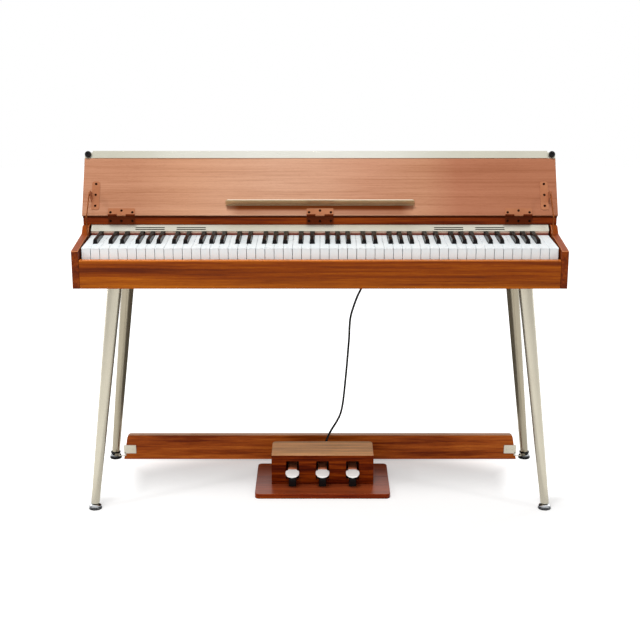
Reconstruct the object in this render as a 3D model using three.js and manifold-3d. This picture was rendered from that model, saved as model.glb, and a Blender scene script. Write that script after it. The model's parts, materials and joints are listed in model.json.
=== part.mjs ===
// A digital piano with a fold-up lid, on four splayed steel legs, with a separate pedal unit.
// Millimetres. +X is the treble end, +Y the back, +Z up; the origin is on the floor under the middle.
import * as THREE from "three";
import { mergeVertices } from "three/addons/utils/BufferGeometryUtils.js";
import Module from "manifold-3d";

const wasm = await Module();
wasm.setup();

// Clearances that the whole piano shares.
const seam = 0.3; // between two pieces that rest on each other
const runningGap = 0.4; // round a piece that turns
const overrun = 3; // how far a cutting shape passes the face that it cuts
const weldDepth = 1; // how far two shapes of one piece run into each other

// Facet counts.
const cornerSteps = 4;
const roundSteps = 24;
const smallRoundSteps = 12;
const beadSteps = 8; // round a key spine's half-round bead
const keyCornerSteps = 1;

// Keyboard.
const naturalPitch = 23.5;
const naturalCount = 52;
const keyGap = 1;
const naturalLength = 152.7; // from the key's front to the felt strip
const naturalHeight = 30;
const naturalCornerRadius = 1;
const notchToFront = 52; // how far back the sharps start
const sharpWidth = 10.4;
const sharpRise = 11;
const sharpFrontSlope = 3;
const sharpStemHeight = 18;
const sharpTopRun = 108; // length of a sharp's raised top
const keyEndGap = 4.5; // between the end keys and the cheeks
const keyTopRise = 102; // white key tops over the cabinet's underside
const keyFrontSetback = 21.6; // key fronts behind the cabinet's front face
const pivotBeadRadius = 5;
const naturalPivotSetback = 60.7; // behind the felt strip
const pivotDrop = 3; // pivot axes under the keys' undersides
const sharpPivotSetback = 18; // behind the naturals' pivot
const sharpPivotRise = 10; // over the naturals' pivot
const combSplits = [0, 16, 30, 44, naturalCount]; // a comb of keys starts at each of these naturals
const lettersInOctave = 7;
const firstLetter = 5; // the lowest key is the sixth letter of an octave that starts on C
// A sharp stands this share of the pitch from the gap after that letter.
const sharpShares = { 0: -0.13, 1: 0.13, 3: -0.16, 4: 0, 5: 0.16 };

// Cabinet.
const cabinetDepth = 378;
const rearFootStandOut = 32; // rear glides behind the cabinet's back
const cabinetUnderside = 618;
const boardThickness = 18;
const bottomThickness = 15;
const backThickness = 12;
const railHeight = 74;
const railRadius = 3;
const cheekFrontHeight = 99;
const cheekNoseRadius = 5;
const cheekRampRun = 18;
const cheekRampRise = 17;
const cheekFilletRadius = 10;
const cheekTopRun = 16.9; // level stretch in front of the top board
const roomOverSharps = 15; // from the sharps' tops to the top board
const topBoardToFelt = 20.7; // top board's front behind the felt strip
const topBoardEdgeRadius = 1;

// Control panel and felt strip.
const panelThickness = 1.5;
const panelLip = 0.6;
const panelOverhang = 2.5; // panel's top fold in front of the top board
const panelFlange = 18;
const slotLength = 78;
const slotWidth = 1.8;
const slotSpacing = 6.4; // along the slope
const slotMargin = 118; // from the panel's end to the first slot
const slotPairPitch = 110;
const slotRowCount = 2;
const slotPairCount = 2; // on each side
const feltThickness = 2;
const feltSetback = 6; // felt behind the panel's lip
const feltGap = 0.6;
const feltToPanel = 0.9;
const panelLean = 4.25; // the slope's foot in front of a 45 degree slope's

// Lid, with its own frame: origin on the hinge axis, Z up the lid, Y through it to the outside.
const lidLean = 30; // degrees back from upright
const lidThickness = 12;
const lidWoodHeight = 163;
const lidOverhang = 3;
const lidToBoardGap = 0.6;
const edgeStripHeight = 22.6;
const edgeStripProud = 1.5;
const edgeStripInset = 21; // the full strip stops short of the lid's end
const edgeStripNoseRadius = 5;
const earHeight = 17;
const earRadius = 4;
const bumperRadius = 8.8;
const bumperHeight = 9;
const bumperHeightOnLid = 173;
const bumperRecessRadius = 3;
const bumperRecessDepth = 3;
const bumperDomeDrop = 2;
const bumperInset = 0.9; // its rim from the lid's end
const ledgeWidth = 505;
const ledgeDepth = 25;
const ledgeThickness = 3;
const ledgeHeightOnLid = 28.7;
const ledgeTilt = 20; // degrees up from square to the lid
const ledgeFlange = 13;
const ledgeCornerRadius = 9;

// Hinges.
const hingeWidth = 72;
const hingeInset = 102.5; // centre of an outer hinge from the cabinet's side
const leafThickness = 1.5;
const leafOnBoard = 17;
const leafOnLid = 20;
const barrelRadius = 2.7;
const pinRadius = 1.4;
const knuckleShare = 1 / 3; // of the hinge's width, for the lid's knuckle

// Lid stays.
const stayPlate = 1.2;
const stayBracketWidth = 21;
const stayBracketFoot = 16;
const stayBracketHeight = 80;
const stayBracketRadius = 6;
const stayFlangeHalf = 14;
const stayPivotHeight = 50.9;
const stayPivotReach = 34.7;
const stayEyeRadius = 6;
const stayPinRadius = 2.5;
const armLength = 76;
const armHalfWidth = 4.5;
const stayFootSetback = 149.5; // cheek pivot behind the front face
const stayFootDrop = 14; // cheek pivot under the white key tops
const stayStudLength = 6;

// Key bed, electronics and back.
const keyBedFloor = 4;
const keyBedFrontSetback = 8; // its front rail behind the key fronts
const keyBedRailWidth = 10;
const keyBedRailGap = 12; // front rail under the keys at rest
const keyBedRearWall = 2.6;
const speakerBoxWidth = 190;
const speakerToKeyBed = 18.1;
const boxToBack = 2.9; // speaker boxes before the back panel
const speakerBoxHeight = 92;
const speakerInset = 190; // box centre from the cheek's inner face
const speakerRadius = 38;
const speakerDishDepth = 16;
const speakerDomeRadius = 12;
const mainBoardWidth = 220;
const mainBoardToKeyBed = 24;
const mainBoardToBack = 10.9;
const mainBoardThickness = 2;
const standoffHeight = 8;
const standoffSize = 8;
const jackPlateWidth = 150;
const jackPlateHeight = 34;
const jackPlateLip = 2;
const jackPlateBorder = 4; // lip round the cut-out
const jackPlateRise = 30;
const jackPlateOffset = 300; // from the middle, towards the bass end
const jackHoleRadius = 3.4;
const jackHolePitch = 24;
const jackHoleCount = 5;
const jackHoleDepth = 9;

// Legs and glides.
const legTopRadius = 19;
const legFootRadius = 11.35;
const legTopInset = 97.5; // from the cabinet's side
const legFootInset = 26.5;
const frontLegTopSetback = 71;
const rearLegTopSetback = 33;
const frontFootSetback = 24;
const legPlateThickness = 3;
const legPlateSize = 84;
const legPlateRadius = 12;
const glideRadius = 17.5;
const glideHeight = 15.7;
const glideRim = 3;
const glideChamfer = 0.6;
const glideNeckRadius = 6.5;
const glideStudRadius = 4;
const glideStudLength = 22;

// Stretcher between the rear legs.
const stretcherThickness = 18;
const stretcherBottom = 5;
const stretcherHeight = 76;
const stretcherEndGap = 28; // from the foot's centre to the board's lower corner
const stretcherEndSlope = 13;
const stretcherCornerRadius = 10;
const stretcherSetback = 26.5; // board's front before the rear feet's centres
const bracketThickness = 2;
const bracketWidth = 36;
const bracketHeight = 26;
const bracketRise = 19; // plate's lower edge over the board's
const bracketArmLap = 6.5; // arm's top over the plate's lower edge
const eyeThickness = 4.7;
const eyeRadius = 14.5;
const strapWidth = 14;

// Pedal unit.
const pedalUnitX = 7;
const pedalBaseWidth = 373;
const pedalBaseToStretcher = 54.5;
const pedalBaseHeight = 14;
const pedalBaseRadius = 12;
const pedalBaseSetback = 85.5; // its front behind the cabinet's front face
const housingWidth = 284.5;
const housingDepth = 110.5;
const housingHeight = 85;
const housingWall = 12;
const housingRearRadius = 12;
const housingFrontRadius = 1.5;
const housingSetback = 71.5; // its front behind the base's front
const slotOpeningWidth = 36;
const slotOpeningHeight = 56;
const slotSill = 12;
const slotOpeningRadius = 3;
const pedalPitch = 83.8;
const pedalCount = 3;
const pedalShankWidth = 25;
const pedalHeadWidth = 37.5;
const pedalHeadLength = 37;
const pedalReach = 41; // how far the tip stands out of the housing
const pedalTopRise = 46; // over the base board
const pedalThickness = 6;
const pedalTipDrop = 9;
const pedalPivotSetback = 83; // behind the housing's front
const pedalPivotRadius = 3;
const pedalBossRadius = 6;
const pedalShankOverrun = 4;
const pedalHeadFlareShare = 0.38;
const pedalTipShare = 0.66;
const pivotEarThickness = 3;
const pivotEarHalf = 8;
const pivotBaseHeight = 3;
const bufferWidth = 21;
const bufferDepth = 16;
const bufferSetback = 3; // its back before the housing's front
const bufferHeight = 27;
const bufferArmHeight = 3;
const bufferArmWidth = 14;
const bufferRadius = 4;
const bufferBarDepth = 10;
const bufferBarGap = 0.9; // behind the housing's front wall

// Pedal lead.
const cordDiameter = 5;
const cordStraightRun = 8; // at each end
const cordSides = 8;
const cordSteps = 54;
const reliefLength = 22;
const reliefBaseRadius = 7;
const reliefTipRadius = 3.6;
const reliefFlangeRadius = 9;
const reliefFlangeLength = 3;
const reliefRise = 46; // its axis over the base board
const reliefX = 15;
const socketX = 125;
const socketToRear = 73; // its centre before the cabinet's back
const socketSize = 26;
const socketHeight = 8;
const plugPinRadius = 3;
const plugPinLength = 6;
const plugBodyRadius = 6;
const plugBodyLength = 24;
const plugNeckRadius = 3.4;
// The lead's route between its two ends, hung by hand.
const cordRoute = [
  [124.4, 100.8, 566], [119.6, 105, 543], [111.4, 110, 516], [102.4, 114, 487],
  [94.6, 117.5, 455], [91.6, 120, 425], [89.4, 122, 392], [86.6, 124, 350],
  [83, 125.5, 305], [79, 126.5, 260], [73.6, 127, 218], [67.8, 127, 186],
  [60.2, 127, 158], [48.4, 126.5, 134], [34.6, 124.5, 111], [24.2, 119, 89],
  [17.8, 108, 70.5],
];

// Heights and depths that follow from the sizes above.
const overallDepth = cabinetDepth + rearFootStandOut;
const frontFace = -overallDepth / 2;
const cabinetRear = frontFace + cabinetDepth;
const naturalTop = cabinetUnderside + keyTopRise;
const naturalBottom = naturalTop - naturalHeight;
const sharpTop = naturalTop + sharpRise;
const topBoardUnderside = sharpTop + roomOverSharps;
const topBoardTop = topBoardUnderside + boardThickness;
const bottomBoardTop = cabinetUnderside + bottomThickness;
const keyFront = frontFace + keyFrontSetback;
const keyBack = keyFront + naturalLength;
const topBoardFront = keyBack + topBoardToFelt;
const keyboardWidth = naturalCount * naturalPitch;
const cheekInner = keyboardWidth / 2 + keyEndGap;
const cabinetHalf = cheekInner + boardThickness;
const lidHalf = cabinetHalf + lidOverhang;
const backInner = cabinetRear - backThickness;

// Hinge axis: clear of the top board's front face and top edge.
const hingeOffset = barrelRadius + seam;
const lidLeanRadians = THREE.MathUtils.degToRad(lidLean);
const hingeY = topBoardFront - hingeOffset;
const hingeZ =
  topBoardTop + (hingeOffset + lidThickness) * Math.sin(lidLeanRadians) + lidToBoardGap;

const wood = material(0xa85f35, 0.45, 0);
const lidWood = material(0xc48c6a, 0.45, 0);
const innerWood = material(0x9c7a58, 0.7, 0);
const champagne = material(0xd6cdb8, 0.32, 0.9);
const copperBrown = material(0x8c4a26, 0.4, 0.8);
const chrome = material(0xd8d8d8, 0.15, 1);
const blackRubber = material(0x141414, 0.8, 0);
const blackPlastic = material(0x1c1c1c, 0.5, 0);
const keyWhite = material(0xf4f4f0, 0.3, 0);
const keyBlack = material(0x101010, 0.35, 0);
const feltRed = material(0x6a3634, 0.95, 0);
const circuitGreen = material(0x1d5a3a, 0.5, 0);

const piano = new THREE.Group();
const lid = new THREE.Group();
lid.position.set(0, hingeY, hingeZ);
lid.rotation.x = -lidLeanRadians;
piano.add(lid);

function material(color, roughness, metalness) {
  return new THREE.MeshStandardMaterial({ color, roughness, metalness });
}

// Turns a closed three.js geometry into a solid that can be joined and cut.
function solid(geometry) {
  geometry.deleteAttribute("normal");
  geometry.deleteAttribute("uv");
  const merged = mergeVertices(geometry);
  return new wasm.Manifold(
    new wasm.Mesh({
      numProp: 3,
      vertProperties: merged.attributes.position.array,
      triVerts: new Uint32Array(merged.index.array),
    }),
  );
}

// Turns a solid back into a named mesh and hangs it on a group.
function addPiece(name, body, finish, group = piano) {
  const made = body.getMesh();
  const geometry = new THREE.BufferGeometry()
    .setAttribute("position", new THREE.BufferAttribute(made.vertProperties, 3))
    .setIndex(new THREE.BufferAttribute(made.triVerts, 1));
  geometry.computeVertexNormals();
  const mesh = new THREE.Mesh(geometry, finish);
  mesh.name = name;
  group.add(mesh);
  return mesh;
}

// A closed outline of corners [u, v] or [u, v, radius]; a radius is cut down to what its sides allow.
function outline(corners, steps = cornerSteps) {
  const points = [];
  corners.forEach(([u, v, radius = 0], i) => {
    const corner = new THREE.Vector2(u, v);
    if (!radius) {
      points.push(corner);
      return;
    }
    const before = corners.at(i - 1);
    const after = corners[(i + 1) % corners.length];
    const back = new THREE.Vector2(before[0], before[1]).sub(corner);
    const on = new THREE.Vector2(after[0], after[1]).sub(corner);
    const room = Math.min(back.length(), on.length()) / 2;
    back.normalize();
    on.normalize();
    const halfAngle = Math.acos(THREE.MathUtils.clamp(back.dot(on), -1, 1)) / 2;
    const run = Math.min(radius / Math.tan(halfAngle), room);
    const fitted = run * Math.tan(halfAngle);
    const centre = corner
      .clone()
      .addScaledVector(back.clone().add(on).normalize(), fitted / Math.sin(halfAngle));
    const from = corner.clone().addScaledVector(back, run).sub(centre).angle();
    const to = corner.clone().addScaledVector(on, run).sub(centre).angle();
    const turn = Math.atan2(Math.sin(to - from), Math.cos(to - from));
    for (let k = 0; k <= steps; k++) {
      const angle = from + (turn * k) / steps;
      const spoke = new THREE.Vector2(Math.cos(angle), Math.sin(angle)).multiplyScalar(fitted);
      points.push(spoke.add(centre));
    }
  });
  return points;
}

// A round outline.
function circle(u, v, radius, steps = smallRoundSteps) {
  return Array.from({ length: steps }, (_, k) => {
    const angle = (2 * Math.PI * k) / steps;
    return new THREE.Vector2(u + radius * Math.cos(angle), v + radius * Math.sin(angle));
  });
}

function extruded(points, length) {
  return new THREE.ExtrudeGeometry(new THREE.Shape(points), { depth: length, bevelEnabled: false });
}

// An outline in (y, z), run along X from one value to another.
function alongX(points, a, b) {
  const geometry = extruded(points, Math.abs(b - a));
  geometry.applyMatrix4(
    new THREE.Matrix4().makeBasis(
      new THREE.Vector3(0, 1, 0),
      new THREE.Vector3(0, 0, 1),
      new THREE.Vector3(1, 0, 0),
    ),
  );
  return solid(geometry.translate(Math.min(a, b), 0, 0));
}

// An outline in (x, z), run along Y.
function alongY(points, a, b) {
  const geometry = extruded(points, Math.abs(b - a));
  geometry.rotateX(Math.PI / 2);
  return solid(geometry.translate(0, Math.max(a, b), 0));
}

// An outline in (x, y), run along Z.
function alongZ(points, a, b) {
  return solid(extruded(points, Math.abs(b - a)).translate(0, 0, Math.min(a, b)));
}

function box(x0, x1, y0, y1, z0, z1) {
  const geometry = new THREE.BoxGeometry(Math.abs(x1 - x0), Math.abs(y1 - y0), Math.abs(z1 - z0));
  return solid(geometry.translate((x0 + x1) / 2, (y0 + y1) / 2, (z0 + z1) / 2));
}

// A round bar between two points, with a radius at each end.
function bar(from, to, fromRadius, toRadius = fromRadius, steps = smallRoundSteps) {
  const axis = to.clone().sub(from);
  const geometry = new THREE.CylinderGeometry(toRadius, fromRadius, axis.length(), steps);
  geometry.applyQuaternion(
    new THREE.Quaternion().setFromUnitVectors(new THREE.Vector3(0, 1, 0), axis.clone().normalize()),
  );
  const middle = from.clone().add(to).divideScalar(2);
  return solid(geometry.translate(middle.x, middle.y, middle.z));
}

// A turned piece: corners are [radius, height] from the bottom of the axis to its top.
function turned(corners, steps = roundSteps) {
  const geometry = new THREE.LatheGeometry(corners.map(([r, h]) => new THREE.Vector2(r, h)), steps);
  return solid(geometry.rotateX(Math.PI / 2));
}

function rectangle(u0, u1, v0, v1, radius = 0) {
  return outline([[u0, v0, radius], [u1, v0, radius], [u1, v1, radius], [u0, v1, radius]]);
}

function vector(x, y, z) {
  return new THREE.Vector3(x, y, z);
}

// Cheeks: low in front of the keys, then a slope, a ramp and the full height under the top board.
const stayFootY = frontFace + stayFootSetback;
const stayFootZ = naturalTop - stayFootDrop;

function addCheek(name, side) {
  const rampTop = topBoardUnderside - seam;
  const rampFoot = rampTop - cheekRampRise;
  const rampEnd = topBoardFront - cheekTopRun;
  const sideView = outline([
    [frontFace, cabinetUnderside],
    [frontFace, cabinetUnderside + cheekFrontHeight, cheekNoseRadius],
    [rampEnd - cheekRampRun, rampFoot, cheekFilletRadius],
    [rampEnd, rampTop, cheekFilletRadius],
    [cabinetRear, rampTop],
    [cabinetRear, cabinetUnderside],
  ]);
  const bore = bar(
    vector(side * (cheekInner - overrun), stayFootY, stayFootZ),
    vector(side * (cheekInner + stayStudLength + seam), stayFootY, stayFootZ),
    stayPinRadius + runningGap,
  );
  addPiece(name, alongX(sideView, side * cheekInner, side * cabinetHalf).subtract(bore), wood);
}

const railFront = frontFace + seam;
const railBack = railFront + boardThickness;

function addFrontRail() {
  const section = outline([
    [railFront, cabinetUnderside],
    [railFront, cabinetUnderside + railHeight, railRadius],
    [railBack, cabinetUnderside + railHeight, railRadius],
    [railBack, cabinetUnderside],
  ]);
  addPiece("front_rail", alongX(section, -cheekInner + seam, cheekInner - seam), wood);
}

function addBoards() {
  const half = cheekInner - seam;
  const bottom = box(-half, half, railBack + seam, backInner - seam, cabinetUnderside, bottomBoardTop);
  addPiece("bottom_board", bottom, innerWood);
  const topSection = outline([
    [topBoardFront, topBoardUnderside, topBoardEdgeRadius],
    [topBoardFront, topBoardTop, topBoardEdgeRadius],
    [cabinetRear, topBoardTop, topBoardEdgeRadius],
    [cabinetRear, topBoardUnderside, topBoardEdgeRadius],
  ]);
  addPiece("top_board", alongX(topSection, -cabinetHalf, cabinetHalf), wood);
}

// The back panel, with a cut-out that the socket plate fills.
function addBack() {
  const left = -jackPlateOffset - jackPlateWidth / 2;
  const right = -jackPlateOffset + jackPlateWidth / 2;
  const low = cabinetUnderside + jackPlateRise;
  const high = low + jackPlateHeight;
  const panel = box(
    -cheekInner + seam,
    cheekInner - seam,
    backInner,
    cabinetRear,
    cabinetUnderside,
    topBoardUnderside - seam,
  );
  const cutOut = box(left, right, backInner - overrun, cabinetRear + overrun, low, high);
  addPiece("back_panel", panel.subtract(cutOut), wood);

  const lip = box(
    left - jackPlateBorder,
    right + jackPlateBorder,
    backInner - seam - jackPlateLip,
    backInner - seam,
    low - jackPlateBorder,
    high + jackPlateBorder,
  );
  const face = box(
    left + seam,
    right - seam,
    backInner - seam - weldDepth,
    cabinetRear - jackPlateLip,
    low + seam,
    high - seam,
  );
  let plate = lip.add(face);
  const firstHole = -jackPlateOffset - (jackHolePitch * (jackHoleCount - 1)) / 2;
  for (let i = 0; i < jackHoleCount; i++) {
    const x = firstHole + jackHolePitch * i;
    const z = (low + high) / 2;
    const hole = bar(
      vector(x, cabinetRear - jackPlateLip - jackHoleDepth, z),
      vector(x, cabinetRear + overrun, z),
      jackHoleRadius,
    );
    plate = plate.subtract(hole);
  }
  addPiece("rear_jack_plate", plate, blackPlastic);
}

// The control panel: a folded sheet that hangs from the top board and slopes down to the keys.
const stayStack = 3 * (stayPlate + seam);
const panelHalf = cheekInner - stayStack - seam;
const panelTopZ = topBoardUnderside - seam;
const panelTopY = topBoardFront - panelOverhang;
const panelLipZ = sharpTop + keyGap;
const panelLipY = panelTopY - (panelTopZ - panelLipZ - panelLip) - panelLean;

function addControlPanel() {
  const slope = vector(0, panelLipY - panelTopY, panelLipZ + panelLip - panelTopZ);
  const run = slope.length();
  slope.normalize();
  const inside = vector(0, -slope.z, slope.y).multiplyScalar(panelThickness).negate();
  const section = [
    [panelTopY + panelFlange, panelTopZ],
    [panelTopY, panelTopZ],
    [panelLipY, panelLipZ + panelLip],
    [panelLipY, panelLipZ],
    [panelLipY + panelThickness, panelLipZ],
    [panelTopY + inside.y / 2, panelTopZ - panelThickness],
    [panelTopY + panelFlange, panelTopZ - panelThickness],
  ].map(([y, z]) => new THREE.Vector2(y, z));
  let panel = alongX(section, -panelHalf, panelHalf);
  const middle = vector(0, panelTopY, panelTopZ).addScaledVector(slope, run / 2);
  for (let row = 0; row < slotRowCount; row++) {
    const centre = middle.clone().addScaledVector(slope, (row - (slotRowCount - 1) / 2) * slotSpacing);
    const cut = slotSection(centre, slope);
    for (const side of [-1, 1]) {
      for (let pair = 0; pair < slotPairCount; pair++) {
        const outer = panelHalf - slotMargin - pair * slotPairPitch;
        panel = panel.subtract(alongX(cut, side * outer, side * (outer - slotLength)));
      }
    }
  }
  addPiece("control_panel", panel, champagne);
}

// The section of a slot's cutter, square to the slope.
function slotSection(centre, slope) {
  const through = vector(0, -slope.z, slope.y).multiplyScalar(overrun);
  const across = slope.clone().multiplyScalar(slotWidth / 2);
  return [
    centre.clone().add(across).add(through),
    centre.clone().add(across).sub(through),
    centre.clone().sub(across).sub(through),
    centre.clone().sub(across).add(through),
  ].map((p) => new THREE.Vector2(p.y, p.z));
}

// Keys. Letters count from C; a sharp stands at the gap after its natural.
const feltFront = panelLipY + feltSetback;
const panelSteepness = (panelTopZ - panelLipZ) / (panelTopY - panelLipY);
const feltTop = panelLipZ + (feltSetback - panelThickness) * panelSteepness - feltToPanel;
const naturalPivotY = keyBack + naturalPivotSetback;
const naturalPivotZ = naturalBottom - pivotDrop;
const sharpPivotY = naturalPivotY + sharpPivotSetback;
const sharpPivotZ = naturalPivotZ + sharpPivotRise;
const sharpFront = keyFront + notchToFront;
const sharpStemBottom = sharpPivotZ + pivotDrop;

function letterOf(natural) {
  return (natural + firstLetter) % lettersInOctave;
}

function hasSharpAfter(natural) {
  return natural >= 0 && natural < naturalCount - 1 && letterOf(natural) in sharpShares;
}

function sharpX(natural) {
  return -keyboardWidth / 2 + (natural + 1 + sharpShares[letterOf(natural)]) * naturalPitch;
}

function naturalKey(i) {
  const left = -keyboardWidth / 2 + i * naturalPitch + keyGap / 2;
  const right = left + naturalPitch - keyGap;
  const tail = naturalPivotY + pivotBeadRadius + keyGap;
  const notch = sharpFront - keyGap;
  const beside = sharpWidth / 2 + keyGap;
  const tailLeft = hasSharpAfter(i - 1) ? sharpX(i - 1) + beside : left;
  const tailRight = hasSharpAfter(i) ? sharpX(i) - beside : right;
  const corners = [
    [left, keyFront, naturalCornerRadius],
    [right, keyFront, naturalCornerRadius],
  ];
  if (tailRight < right) corners.push([right, notch], [tailRight, notch]);
  corners.push([tailRight, tail], [tailLeft, tail]);
  if (tailLeft > left) corners.push([tailLeft, notch], [left, notch]);
  return alongZ(outline(corners, keyCornerSteps), naturalBottom, naturalTop);
}

function sharpKey(i) {
  const topEnd = sharpFront + sharpTopRun;
  const tail = sharpPivotY + pivotBeadRadius;
  const stemTop = sharpStemBottom + sharpStemHeight;
  const sideView = [
    [sharpFront, sharpStemBottom],
    [sharpFront, naturalTop],
    [sharpFront + sharpFrontSlope, sharpTop],
    [topEnd, sharpTop],
    [topEnd + sharpFrontSlope, stemTop],
    [tail, stemTop],
    [tail, sharpStemBottom],
  ].map(([y, z]) => new THREE.Vector2(y, z));
  return alongX(sideView, sharpX(i) - sharpWidth / 2, sharpX(i) + sharpWidth / 2);
}

// The spine of a comb: a bar under the key tails with a half-round bead that turns in the key bed.
function spine(x0, x1, pivotY, pivotZ, top) {
  const section = [
    new THREE.Vector2(pivotY + pivotBeadRadius, top),
    new THREE.Vector2(pivotY - pivotBeadRadius, top),
  ];
  const centre = new THREE.Vector2(pivotY, pivotZ);
  for (let k = 0; k <= beadSteps; k++) {
    const angle = Math.PI + (Math.PI * k) / beadSteps;
    const spoke = new THREE.Vector2(Math.cos(angle), Math.sin(angle)).multiplyScalar(pivotBeadRadius);
    section.push(spoke.add(centre));
  }
  return alongX(section, x0, x1);
}

function addCombs() {
  for (let comb = 0; comb + 1 < combSplits.length; comb++) {
    const first = combSplits[comb];
    const end = combSplits[comb + 1];
    const left = -keyboardWidth / 2 + first * naturalPitch + keyGap / 2;
    const right = -keyboardWidth / 2 + end * naturalPitch - keyGap / 2;
    const naturals = [spine(left, right, naturalPivotY, naturalPivotZ, naturalBottom + weldDepth)];
    const sharps = [];
    const sharpPlaces = [];
    for (let i = first; i < end; i++) {
      naturals.push(naturalKey(i));
      if (hasSharpAfter(i)) {
        sharps.push(sharpKey(i));
        sharpPlaces.push(sharpX(i));
      }
    }
    sharps.push(
      spine(
        sharpPlaces[0] - sharpWidth / 2,
        sharpPlaces.at(-1) + sharpWidth / 2,
        sharpPivotY,
        sharpPivotZ,
        sharpStemBottom + weldDepth,
      ),
    );
    addPiece(`natural_keys_${comb + 1}`, wasm.Manifold.union(naturals), keyWhite);
    addPiece(`sharp_keys_${comb + 1}`, wasm.Manifold.union(sharps), keyBlack);
  }
}

// The felt strip behind the keys: a comb whose notches let the sharps through.
function addFeltStrip() {
  const bottom = naturalTop + feltGap;
  const half = keyboardWidth / 2;
  const beside = sharpWidth / 2 + runningGap;
  const edge = [new THREE.Vector2(-half, feltTop), new THREE.Vector2(-half, bottom)];
  for (let i = 0; i < naturalCount; i++) {
    if (!hasSharpAfter(i)) continue;
    const x = sharpX(i);
    edge.push(
      new THREE.Vector2(x - beside, bottom),
      new THREE.Vector2(x - beside, sharpTop + feltGap),
      new THREE.Vector2(x + beside, sharpTop + feltGap),
      new THREE.Vector2(x + beside, bottom),
    );
  }
  edge.push(new THREE.Vector2(half, bottom), new THREE.Vector2(half, feltTop));
  addPiece("felt_strip", alongY(edge, feltFront, feltFront + feltThickness), feltRed);
}

// A groove that a spine's bead turns in, as points from its front edge to its back edge.
function groove(pivotY, pivotZ) {
  const radius = pivotBeadRadius + runningGap;
  return Array.from({ length: beadSteps + 1 }, (_, k) => {
    const angle = Math.PI + (Math.PI * k) / beadSteps;
    return [pivotY + radius * Math.cos(angle), pivotZ + radius * Math.sin(angle)];
  });
}

const keyBedReach = pivotBeadRadius + runningGap + keyBedRearWall;
const keyBedRear = sharpPivotY + keyBedReach;

function addKeyBed() {
  const base = bottomBoardTop + seam;
  const floor = base + keyBedFloor;
  const front = keyFront + keyBedFrontSetback;
  const railTop = naturalBottom - keyBedRailGap;
  const stepY = sharpPivotY - keyBedReach;
  const section = [
    [front, base],
    [keyBedRear, base],
    [keyBedRear, sharpPivotZ],
    ...groove(sharpPivotY, sharpPivotZ).reverse(),
    [stepY, sharpPivotZ],
    [stepY, naturalPivotZ],
    ...groove(naturalPivotY, naturalPivotZ).reverse(),
    [naturalPivotY - keyBedReach, naturalPivotZ],
    [naturalPivotY - keyBedReach, floor],
    [front + keyBedRailWidth, floor],
    [front + keyBedRailWidth, railTop],
    [front, railTop],
  ].map(([y, z]) => new THREE.Vector2(y, z));
  addPiece("key_bed", alongX(section, -keyboardWidth / 2, keyboardWidth / 2), blackPlastic);
}

// Two speaker boxes behind the keys, each with a cone in its front wall.
function addSpeaker(name, side) {
  const x = side * (cheekInner - speakerInset);
  const back = backInner - boxToBack;
  const front = keyBedRear + speakerToKeyBed;
  const base = bottomBoardTop + seam;
  const centreZ = base + speakerBoxHeight / 2;
  const half = speakerBoxWidth / 2;
  const shell = box(x - half, x + half, front, back, base, base + speakerBoxHeight);
  const dish = bar(
    vector(x, front - overrun, centreZ),
    vector(x, front + speakerDishDepth, centreZ),
    speakerRadius + overrun,
    speakerDomeRadius,
    roundSteps,
  );
  const dome = bar(
    vector(x, front + speakerDishDepth + weldDepth, centreZ),
    vector(x, front + speakerDishDepth / 2, centreZ),
    speakerDomeRadius - seam,
    speakerDomeRadius / 2,
  );
  addPiece(name, shell.subtract(dish).add(dome), blackPlastic);
}

function addMainBoard() {
  const back = backInner - mainBoardToBack;
  const front = keyBedRear + mainBoardToKeyBed;
  const base = bottomBoardTop + seam;
  const under = base + standoffHeight;
  const half = mainBoardWidth / 2;
  let board = box(-half, half, front, back, under, under + mainBoardThickness);
  for (const x of [-half, half - standoffSize]) {
    for (const y of [front, back - standoffSize]) {
      board = board.add(box(x, x + standoffSize, y, y + standoffSize, base, under + weldDepth));
    }
  }
  addPiece("main_board", board, circuitGreen);
}

// Hinges between the top board's front edge and the lid.
function addHinge(name, x) {
  const half = hingeWidth / 2;
  const knuckleHalf = (hingeWidth * knuckleShare) / 2;
  const clearOfBarrel = barrelRadius + runningGap;
  const boardLeafY = topBoardFront - seam;
  const leafFrontY = boardLeafY - leafThickness;
  const leafFoot = topBoardTop - leafOnBoard;
  const boardLeaf = box(x - half, x + half, leafFrontY, boardLeafY, leafFoot, hingeZ - clearOfBarrel);
  const axis = (a, b, radius) => bar(vector(x + a, hingeY, hingeZ), vector(x + b, hingeY, hingeZ), radius);
  let fixed = boardLeaf.add(axis(-half, half, pinRadius));
  const tongueFoot = hingeZ - clearOfBarrel * 2;
  for (const side of [-1, 1]) {
    const inner = side * (knuckleHalf + runningGap / 2);
    const tongue = box(x + inner, x + side * half, leafFrontY, boardLeafY, tongueFoot, hingeZ);
    fixed = fixed.add(axis(inner, side * half, barrelRadius)).add(tongue);
  }
  addPiece(`${name}_board_leaf`, fixed, copperBrown);

  const lidLeafY = hingeOffset - seam;
  const knuckle = knuckleHalf - runningGap / 2;
  const lidLeaf = box(x - half, x + half, lidLeafY - leafThickness, lidLeafY, clearOfBarrel, leafOnLid)
    .add(box(x - knuckle, x + knuckle, lidLeafY - leafThickness, lidLeafY, 0, clearOfBarrel * 2))
    .add(bar(vector(x - knuckle, 0, 0), vector(x + knuckle, 0, 0), barrelRadius))
    .subtract(bar(vector(x - half, 0, 0), vector(x + half, 0, 0), pinRadius + runningGap));
  addPiece(`${name}_lid_leaf`, lidLeaf, copperBrown, lid);
}

function addLidBoard() {
  const board = rectangle(hingeOffset, hingeOffset + lidThickness, 0, lidWoodHeight, topBoardEdgeRadius);
  addPiece("lid_board", alongX(board, -lidHalf, lidHalf), lidWood, lid);
}

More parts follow.
